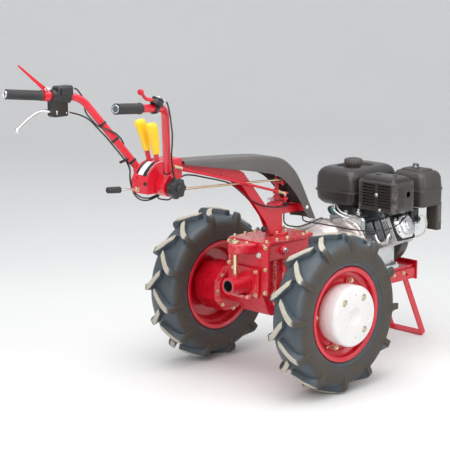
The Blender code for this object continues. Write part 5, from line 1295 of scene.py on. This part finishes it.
LEVER_FEET = (("shift", Vector((-0.606, 0.0215, 0.930)), Vector((-0.637, 0.0215, 1.041))),
              ("drive", Vector((-0.602, -0.0215, 0.921)), Vector((-0.622, -0.0215, 1.031))))


def levers():
    for word, foot, top in LEVER_FEET:
        dress(f"{word}_lever", f"{word}_lever_blade", ENAMEL, 0.0012, 2)
        up, length = (top - foot).normalized(), (top - foot).length
        back = Vector((-up.z, 0, up.x))
        spots = ((0.0, 0.0105, -0.001), (0.10, 0.0122, -0.002), (0.35, 0.0145, -0.003),
                 (0.70, 0.0195, -0.002), (0.90, 0.0222, 0.001),
                 (0.97, 0.0190, 0.003), (1.0, 0.0120, 0.004))
        rings = []
        for share, half, lean in spots:
            middle = foot + up * share * length + back * lean
            thick = 0.0118 + 0.0014 * share - (0.004 if share > 0.99 else 0.0)
            flat = soft([(half, thick), (-half, thick), (-half, -thick), (half, -thick)],
                        min(half, thick) * 0.72, 5)
            rings.append([middle + back * p.x + Vector((0, p.y, 0)) for p in flat])
        smooth = [[sum((r[i] * w for r, w in zip(group, (0.25, 0.5, 0.25))), Vector())
                   for i in range(len(rings[0]))]
                  for group in zip(rings, rings[1:], rings[2:])]
        place(Form().skin([rings[0], *smooth, rings[-1]]), f"{word}_knob_moulded", YELLOW, "column",
              f"{word}_knob",
              bevel=0.003, segments=4, crease=60)


console()
levers()
print("console and levers:", sum(triangles.values()), "faces so far")

# %% [markdown]
# ## Handlebars and hand controls
# Each bar is a tube swept along its bent line, welded to a turned boss by a tapered neck. The grips are
# turned with shallow rings, and the tube's bright end shows behind them.

# %% Bars and grips
ROOT, SHOULDER = Vector((-0.5925, 0.0665, 0.826)), Vector((-0.5985, 0.0765, 0.858))
CORNER, END = Vector((-0.738, 0.2207, 1.1105)), Vector((-1.011, 0.291, 1.136))
TUBE_R, GRIP_LENGTH = 0.0135, 0.136
INNER = CORNER.lerp(END, 1 - GRIP_LENGTH / (END - CORNER).length)
TILT_X, TILT_Z = -0.592, 0.809
CONSOLE_SIDE, BOSS_DEPTH = 0.0405, 0.046


def on_side(point, side):
    return Vector((point[0], point[1] * side, point[2]))


def handlebars():
    for side, word in ((1, "left"), (-1, "right")):
        line = soft([ROOT, SHOULDER, CORNER, END], 0.040, 12, closed=False)
        bar = Form().sweep([on_side(p, side) for p in line], TUBE_R, 28)
        boss = soft([(0.0, 0.0), (0.0, 0.0340), (BOSS_DEPTH, 0.0340), (BOSS_DEPTH, 0.0)], 0.0030, 3,
                    closed=False)
        bar.lathe([(a, r) for a, r in boss], (TILT_X, side * CONSOLE_SIDE, TILT_Z), (0, side, 0), 48)
        middle = Vector((TILT_X, side * (CONSOLE_SIDE + BOSS_DEPTH / 2), TILT_Z))
        shoulder = on_side(SHOULDER, side)
        reach = (shoulder - middle).length
        bar.lathe(soft([(0.0, 0.0), (0.0, 0.0174), (reach * 0.62, 0.0198), (reach, 0.0190),
                        (reach + 0.002, 0.0145), (reach + 0.002, 0.0)],
                       0.002, 3, closed=False), middle, shoulder - middle, 32)
        place(bar, f"{word}_bar_bent", ENAMEL, "handlebars", f"{word}_handlebar", bevel=0,
              crease=50)
        along = (on_side(END, side) - on_side(INNER, side)).normalized()
        rings = [(0.0, 0.0137), (0.0, 0.0180), (0.002, 0.0190), (0.006, 0.0190), (0.0085, 0.0172)]
        ribs = 26
        for k in range(ribs):
            a = 0.012 + k * 0.0044
            rings += [(a, 0.0166), (a + 0.0010, 0.0176), (a + 0.0030, 0.0176), (a + 0.0040, 0.0166)]
        rings += [(0.1290, 0.0176), (0.1335, 0.0180), (0.1340, 0.0137)]
        place(Form().lathe(rings, on_side(INNER, side), along, 40, closed=True), f"{word}_grip_ribbed",
              GRIP, "handlebars",
              f"{word}_grip", bevel=0, crease=60)
        cap = [(-0.010, 0.0100), (0.0020, 0.0100), (0.0032, 0.0108), (0.0032, 0.0128), (0.0022, 0.0136),
               (-0.010, 0.0136)]
        place(Form().lathe(cap, on_side(END, side), along, 40, closed=True), f"{word}_tube_end", STEEL,
              "handlebars", bevel=0)
        # A dark metal disc just inside the bright tube end is painted shade: it stands for the dark hollow of
        # the open tube.
        place(Form().lathe([(-0.002, 0.0), (-0.002, 0.0101), (0.0005, 0.0101), (0.0005, 0.0)],
                           on_side(END, side), along, 32),
              f"{word}_tube_shade_disc", SOOT_METAL, "handlebars", bevel=0)
    ring = Form().lathe([(-0.003, 0.0138), (-0.003, 0.0155), (0.003, 0.0155), (0.003, 0.0138)],
                        on_side(SHOULDER.lerp(CORNER, 0.035), -1),
                        on_side(CORNER - SHOULDER, -1), 36, closed=True)
    place(ring, "right_bar_ring", GASKET, "handlebars", bevel=0.0006)
    strap = Form()
    for share in (0.10, 0.40, 0.62):
        strap.lathe([(-0.0045, 0.0136), (-0.0045, 0.0149), (0.0045, 0.0149), (0.0045, 0.0136)],
                    SHOULDER.lerp(CORNER, share),
                    CORNER - SHOULDER, 32, closed=True)
    spot = SHOULDER.lerp(CORNER, 0.12)
    strap.sweep([spot + Vector((-0.010, 0.0, 0.006)), spot + Vector((-0.045, 0.010, -0.006))], 0.0048, 12)
    place(strap, "bar_straps", GASKET, "handlebars", bevel=0.0008)


handlebars()
print("bars and grips:", sum(triangles.values()), "faces so far")

# %% [markdown]
# ## Clamp knob and hand controls
# The knob that locks the bars is a moulding with seven lobes. Its outline is a circle whose radius
# follows a cosine, which is easier to change than seven cylinders joined together. The switch box, the
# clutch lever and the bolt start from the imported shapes. The brake lever and the throttle arm are tapered
# sweeps, because they are bent, smooth and round all along.

# %% Clamp and hand controls
def clamp():
    outer = CONSOLE_SIDE + BOSS_DEPTH + 0.0004
    collar = Form().lathe(soft([(0.0, 0.0), (0.0, 0.0145), (0.012, 0.0145), (0.012, 0.0)], 0.0015, 2,
                               closed=False),
                          (TILT_X, -outer, TILT_Z), (0, -1, 0), 32)
    lobes = 7
    rings = []
    for out, grow in ((0.0125, 0.86), (0.0145, 0.96), (0.018, 1.0), (0.036, 1.0), (0.0405, 0.95),
                      (0.0425, 0.84), (0.0425, 0.50)):
        ring = []
        for k in range(84):
            t = 2 * math.pi * k / 84
            radius = (0.035 + 0.003 * math.cos(lobes * t)) * grow
            ring.append(Vector((TILT_X + radius * math.cos(t), -outer - out, TILT_Z + radius * math.sin(t))))
        rings.append(ring)
    collar.skin(rings)
    collar.lathe(soft([(0.040, 0.0), (0.040, 0.0150), (0.0485, 0.0138), (0.0490, 0.0)], 0.003, 3,
                      closed=False),
                 (TILT_X, -outer, TILT_Z), (0, -1, 0), 32)
    place(collar, "clamp_knob_lobed", BLACK_PLASTIC, "handlebars", "clamp_knob",
          bevel=0.0008, crease=50)
    dress("handlebar_bolt", "handlebar_bolt_turned", STEEL, 0.0008, 2)


def hand_controls():
    extra = Form()
    middle = INNER.lerp(CORNER, 0.44)
    extra.box((middle.x - 0.010, middle.y - 0.030, middle.z + 0.006),
              (middle.x + 0.036, middle.y - 0.022, middle.z + 0.030))
    dress("control_box", "control_box_moulded", BLACK_PLASTIC, 0.0035, 3, extra)
    screws = Form()
    for x, z in ((-0.018, -0.060), (0.024, -0.060), (0.024, -0.018)):
        screws.lathe([(0, 0), (0, 0.0032), (0.0016, 0.0026), (0.0018, 0)],
                     (middle.x + x, middle.y - 0.010, middle.z + z), (0, -1, 0), 14)
    screws.bolt((middle.x - 0.018, middle.y + 0.0, middle.z - 0.052), (0, -1, 0), 0.0050, 0.012)
    place(screws, "control_box_screws", STEEL, "handlebars", bevel=0.0004)
    dress("clutch_lever", "clutch_lever_blade", ENAMEL, 0.0016, 3)
    pivot = Form().bolt(INNER.lerp(CORNER, 0.12) + Vector((-0.004, -0.004, 0.024)), (0, -1, 0.1), 0.0055,
                        0.014)
    place(pivot, "clutch_lever_bolt", STEEL, "handlebars", bevel=0.0005)
    start = Vector((middle.x - 0.031, middle.y + 0.012, middle.z - 0.052))
    path = curve_through([start + Vector((0.004, 0, 0)), start + Vector((-0.040, 0.004, 0.003)),
                          start + Vector((-0.087, 0.010, -0.019)),
                          start + Vector((-0.132, 0.016, -0.055))], 28)
    blade = Form().sweep(path, [0.0058 - 0.0016 * i / 27 for i in range(28)], 16)
    turn = Form().lathe([(-0.0090, 0), (-0.0082, 0.0042), (-0.0055, 0.0074), (0, 0.0094), (0.0055, 0.0074),
                         (0.0082, 0.0042), (0.0090, 0)],
                        path[-1], (0, 0, 1), 24)
    place(blade.add(turn), "brake_lever_polished", STEEL, "handlebars", "brake_lever",
          bevel=0, crease=70)


def throttle():
    spot = on_side(INNER.lerp(CORNER, 0.56), -1)
    along = (on_side(CORNER, -1) - on_side(INNER, -1)).normalized()
    tilt = Vector((0.013, -0.001, 0.024)).normalized()
    base = spot + Vector((-0.002, -0.011, 0.011))
    pot = Form().lathe([(-0.009, 0.0138), (-0.009, 0.0178), (0.009, 0.0178), (0.009, 0.0138)], spot, along,
                       32, closed=True)
    pot.lathe(soft([(0.0, 0.0), (0.0, 0.0222), (0.010, 0.0226), (0.014, 0.0200), (0.022, 0.0215),
                    (0.025, 0.0180), (0.025, 0.0)],
                   0.0022, 3, closed=False), base, tilt, 36)
    place(pot, "throttle_pot", BLACK_PLASTIC, "handlebars", "throttle_lever", bevel=0.0006)
    top = Form().lathe(soft([(0.024, 0.0), (0.024, 0.0150), (0.0268, 0.0140), (0.0272, 0.0)], 0.001, 2,
                            closed=False), base, tilt, 32)
    top.bolt(base + tilt * 0.0262, tilt, 0.0050, 0.005)
    top.box((spot.x - 0.008, spot.y - 0.010, spot.z - 0.0215),
            (spot.x + 0.010, spot.y + 0.010, spot.z - 0.0170))
    place(top, "throttle_cap", STEEL, "handlebars", bevel=0.0005)
    tip = spot + Vector((-0.069, -0.013, 0.059))
    path = curve_through([base + tilt * 0.012 + Vector((-0.004, 0, 0)), base + Vector((-0.022, 0.0, 0.020)),
                          spot + Vector((-0.044, -0.011, 0.035)),
                          spot + Vector((-0.060, -0.012, 0.050)), tip], 24)
    arm = Form().sweep(path, [0.0066 - 0.0014 * i / 23 for i in range(24)], 16)
    arm.lathe(soft([(-0.006, 0.0), (-0.006, 0.0100), (0.006, 0.0100), (0.006, 0.0)], 0.0030, 4,
                   closed=False), tip, (1, 0.3, 0.1), 32)
    place(arm, "throttle_arm", ENAMEL, "handlebars", bevel=0, crease=50)


clamp()
hand_controls()
throttle()
print("hand controls:", sum(triangles.values()), "faces so far")

# %% [markdown]
# ## Cables
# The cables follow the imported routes.

# %% Cables
CABLE_R = 0.003


def beside_bar(share, degrees, space=0.002):
    along = (SHOULDER - CORNER).normalized()
    level = along.cross(Vector((0, 0, 1))).normalized()
    turn = math.radians(degrees)
    out = level * math.cos(turn) + level.cross(along) * math.sin(turn)
    return CORNER.lerp(SHOULDER, share) + out * (TUBE_R + CABLE_R + space)


BRAKE_ROUTE = [
    (-0.7669, 0.2370, 1.1430), (-0.7560, 0.2370, 1.1425), (-0.7420, 0.2370, 1.1370),
    (-0.7280, 0.2390, 1.1250),
    beside_bar(0.07, 180, 0.004), beside_bar(0.12, 225, 0.005), beside_bar(0.19, 262, 0.005),
    beside_bar(0.28, 275, 0.003), beside_bar(0.35, 300), beside_bar(0.40, 335), beside_bar(0.45, 10),
    beside_bar(0.51, 45), beside_bar(0.57, 75), beside_bar(0.63, 105), beside_bar(0.69, 140),
    beside_bar(0.75, 180),
    beside_bar(0.82, 222), beside_bar(0.89, 245, 0.004), (-0.6300, 0.0845, 0.8560), (-0.6390, 0.0745, 0.8330),
    (-0.6400, 0.0660, 0.8060), (-0.6290, 0.0600, 0.7760), (-0.6080, 0.0560, 0.7590),
    (-0.5900, 0.0500, 0.7530),
    (-0.5780, 0.0380, 0.7540), (-0.5600, 0.0320, 0.7600), (-0.5320, 0.0300, 0.7700)]
CLUTCH_ROUTE = [
    (-0.7805, 0.2450, 1.0590), (-0.7680, 0.2440, 1.0570), (-0.7510, 0.2430, 1.0520),
    (-0.7290, 0.2320, 1.0440),
    (-0.7040, 0.2150, 1.0270), beside_bar(0.44, 285, 0.004), beside_bar(0.52, 278), beside_bar(0.61, 272),
    beside_bar(0.70, 270), beside_bar(0.79, 270), beside_bar(0.87, 270), (-0.6360, 0.0790, 0.8560),
    (-0.6460, 0.0675, 0.8330), (-0.6480, 0.0590, 0.8060), (-0.6400, 0.0520, 0.7740),
    (-0.6180, 0.0500, 0.7530),
    (-0.5960, 0.0480, 0.7460), (-0.5790, 0.0390, 0.7470), (-0.5600, 0.0290, 0.7550),
    (-0.5320, 0.0270, 0.7650)]
THROTTLE_ROUTE = [
    (-0.7680, -0.2480, 1.1424), (-0.7600, -0.2470, 1.1388), (-0.7490, -0.2450, 1.1280),
    (-0.7400, -0.2410, 1.1120),
    (-0.7270, -0.2350, 1.0800), (-0.7040, -0.2150, 1.0450), (-0.6640, -0.1750, 1.0120),
    (-0.6330, -0.1400, 0.9660),
    (-0.6070, -0.1080, 0.9260), (-0.5870, -0.0900, 0.8880), (-0.5720, -0.0800, 0.8520),
    (-0.5570, -0.0740, 0.8300),
    (-0.5420, -0.0640, 0.8030), (-0.5430, -0.0590, 0.7850), (-0.5520, -0.0545, 0.7680),
    (-0.5640, -0.0480, 0.7580),
    (-0.5670, -0.0380, 0.7555), (-0.5665, -0.0200, 0.7540), (-0.5640, 0.0000, 0.7530),
    (-0.5590, 0.0170, 0.7545),
    (-0.5480, 0.0260, 0.7610)]
COLUMN_ROUTE = [
    (-0.5820, 0.0380, 0.7500), (-0.5780, 0.0330, 0.7515), (-0.5600, 0.0290, 0.7570),
    (-0.5320, 0.0270, 0.7670),
    (-0.5050, 0.0260, 0.7800), (-0.4700, 0.0200, 0.8020), (-0.4330, 0.0160, 0.8200),
    (-0.3900, 0.0130, 0.8160),
    (-0.3300, 0.0120, 0.8005), (-0.2700, 0.0090, 0.7850), (-0.2250, 0.0000, 0.7700),
    (-0.1980, -0.0120, 0.7500),
    (-0.1760, -0.0260, 0.7260), (-0.1520, -0.0310, 0.7060), (-0.1200, -0.0320, 0.6880),
    (-0.0780, -0.0320, 0.6705),
    (-0.0350, -0.0325, 0.6590), (0.0070, -0.0350, 0.6540), (0.0450, -0.0350, 0.6530),
    (0.0720, -0.0230, 0.6530),
    (0.0840, -0.0060, 0.6540), (0.0900, 0.0090, 0.6535), (0.0935, 0.0200, 0.6470)]
HOUSING_ROUTE = [
    (0.0900, 0.0090, 0.6535), (0.0935, 0.0200, 0.6470), (0.0945, 0.0220, 0.6300), (0.0945, 0.0200, 0.6080),
    (0.0945, 0.0200, 0.5892), (0.0945, 0.0190, 0.5790), (0.0990, 0.0150, 0.5690), (0.1100, 0.0080, 0.5610),
    (0.1260, 0.0030, 0.5570), (0.1500, 0.0000, 0.5525), (0.1850, 0.0000, 0.5525), (0.2350, 0.0000, 0.5580),
    (0.2700, 0.0000, 0.5655), (0.2950, 0.0000, 0.5675)]
ENGINE_ROUTE = [
    (0.1300, -0.0290, 0.6560), (0.1440, -0.0300, 0.6390), (0.1475, -0.0305, 0.6150),
    (0.1475, -0.0305, 0.5890),
    (0.1530, -0.0340, 0.5800), (0.1660, -0.0440, 0.5750), (0.1860, -0.0600, 0.5710),
    (0.2300, -0.1000, 0.5600),
    (0.2790, -0.1400, 0.5465), (0.3200, -0.1720, 0.5380), (0.3600, -0.2000, 0.5345),
    (0.4020, -0.2290, 0.5370),
    (0.4400, -0.2460, 0.5460), (0.4740, -0.2490, 0.5590), (0.5080, -0.2430, 0.5720),
    (0.5340, -0.2330, 0.5820),
    (0.5450, -0.2250, 0.5913)]


def cable(route, name, node, body=None, bridge=None):
    """One sheathed cable. bridge = (first body, second body, start, end) when it crosses a joint."""
    form = Form().sweep(curve_through(route, len(route) * 7), CABLE_R * 0.92, 12)
    made = place(form, name, CABLE, body, node, bevel=0, crease=80)
    if bridge:
        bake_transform(made)


cable(BRAKE_ROUTE, "brake_cable_run", "brake_cable",
      bridge=("handlebars", "column", (-0.590, 0.064, 0.795), (-0.578, 0.034, 0.752)))
cable(CLUTCH_ROUTE, "clutch_cable_run", "clutch_cable",
      bridge=("handlebars", "column", (-0.590, 0.062, 0.790), (-0.578, 0.032, 0.746)))
cable(THROTTLE_ROUTE, "throttle_cable_run", "throttle_cable",
      bridge=("handlebars", "column", (-0.552, -0.062, 0.790), (-0.566, -0.020, 0.754)))
cable(COLUMN_ROUTE, "column_cable_run", "column_cable", "column")
cable(HOUSING_ROUTE, "housing_cable_run", "housing_cable",
      bridge=("column", "chassis", (0.0945, 0.020, 0.640), (0.0945, 0.020, 0.578)))
cable(ENGINE_ROUTE, "engine_cable_run", "engine_cable",
      bridge=("column", "chassis", (0.1475, -0.030, 0.632), (0.1560, -0.036, 0.578)))
ferrules = Form()
for spot, way in (((-0.7669, 0.2370, 1.1430), (1, 0, -0.05)), ((-0.7805, 0.2450, 1.0590), (1, 0, -0.1)),
                  ((-0.7680, -0.2480, 1.1424), (0.9, 0.1, -0.4))):
    ferrules.lathe(soft([(-0.004, 0.0), (-0.004, 0.0050), (0.012, 0.0044), (0.014, 0.0030), (0.014, 0.0)],
                        0.0008, 2, closed=False),
                   spot, way, 18)
place(ferrules, "cable_ferrules", STEEL, "handlebars", bevel=0)
print("whole machine:", sum(triangles.values()), "faces in", len(triangles), "pieces")

# %% [markdown]
# ## Finish
# Every imported node that no new mesh stands for keeps its own shape and takes a procedural finish here.

# %% Finish
FINISH_OF = {"red_paint": ENAMEL, "cream_paint": CREAM, "tyre_rubber": TYRE, "grip_rubber": GRIP,
             "cover_plastic": HOOD,
             "black_plastic": BLACK_PLASTIC, "black_paint": BLACK, "yellow_plastic": YELLOW,
             "cast_aluminium": ALUMINIUM,
             "zinc_steel": ZINC, "bright_steel": STEEL}
kept = [node for node in frame["nodes"].values() if not node.hide_render]
for node in kept:
    slot = node.data.materials[0].name.split(".")[0]
    node.data.materials.clear()
    node.data.materials.append(FINISH_OF.get(slot, ENAMEL))
print("packed nodes still shown:", sorted(node.name for node in kept))
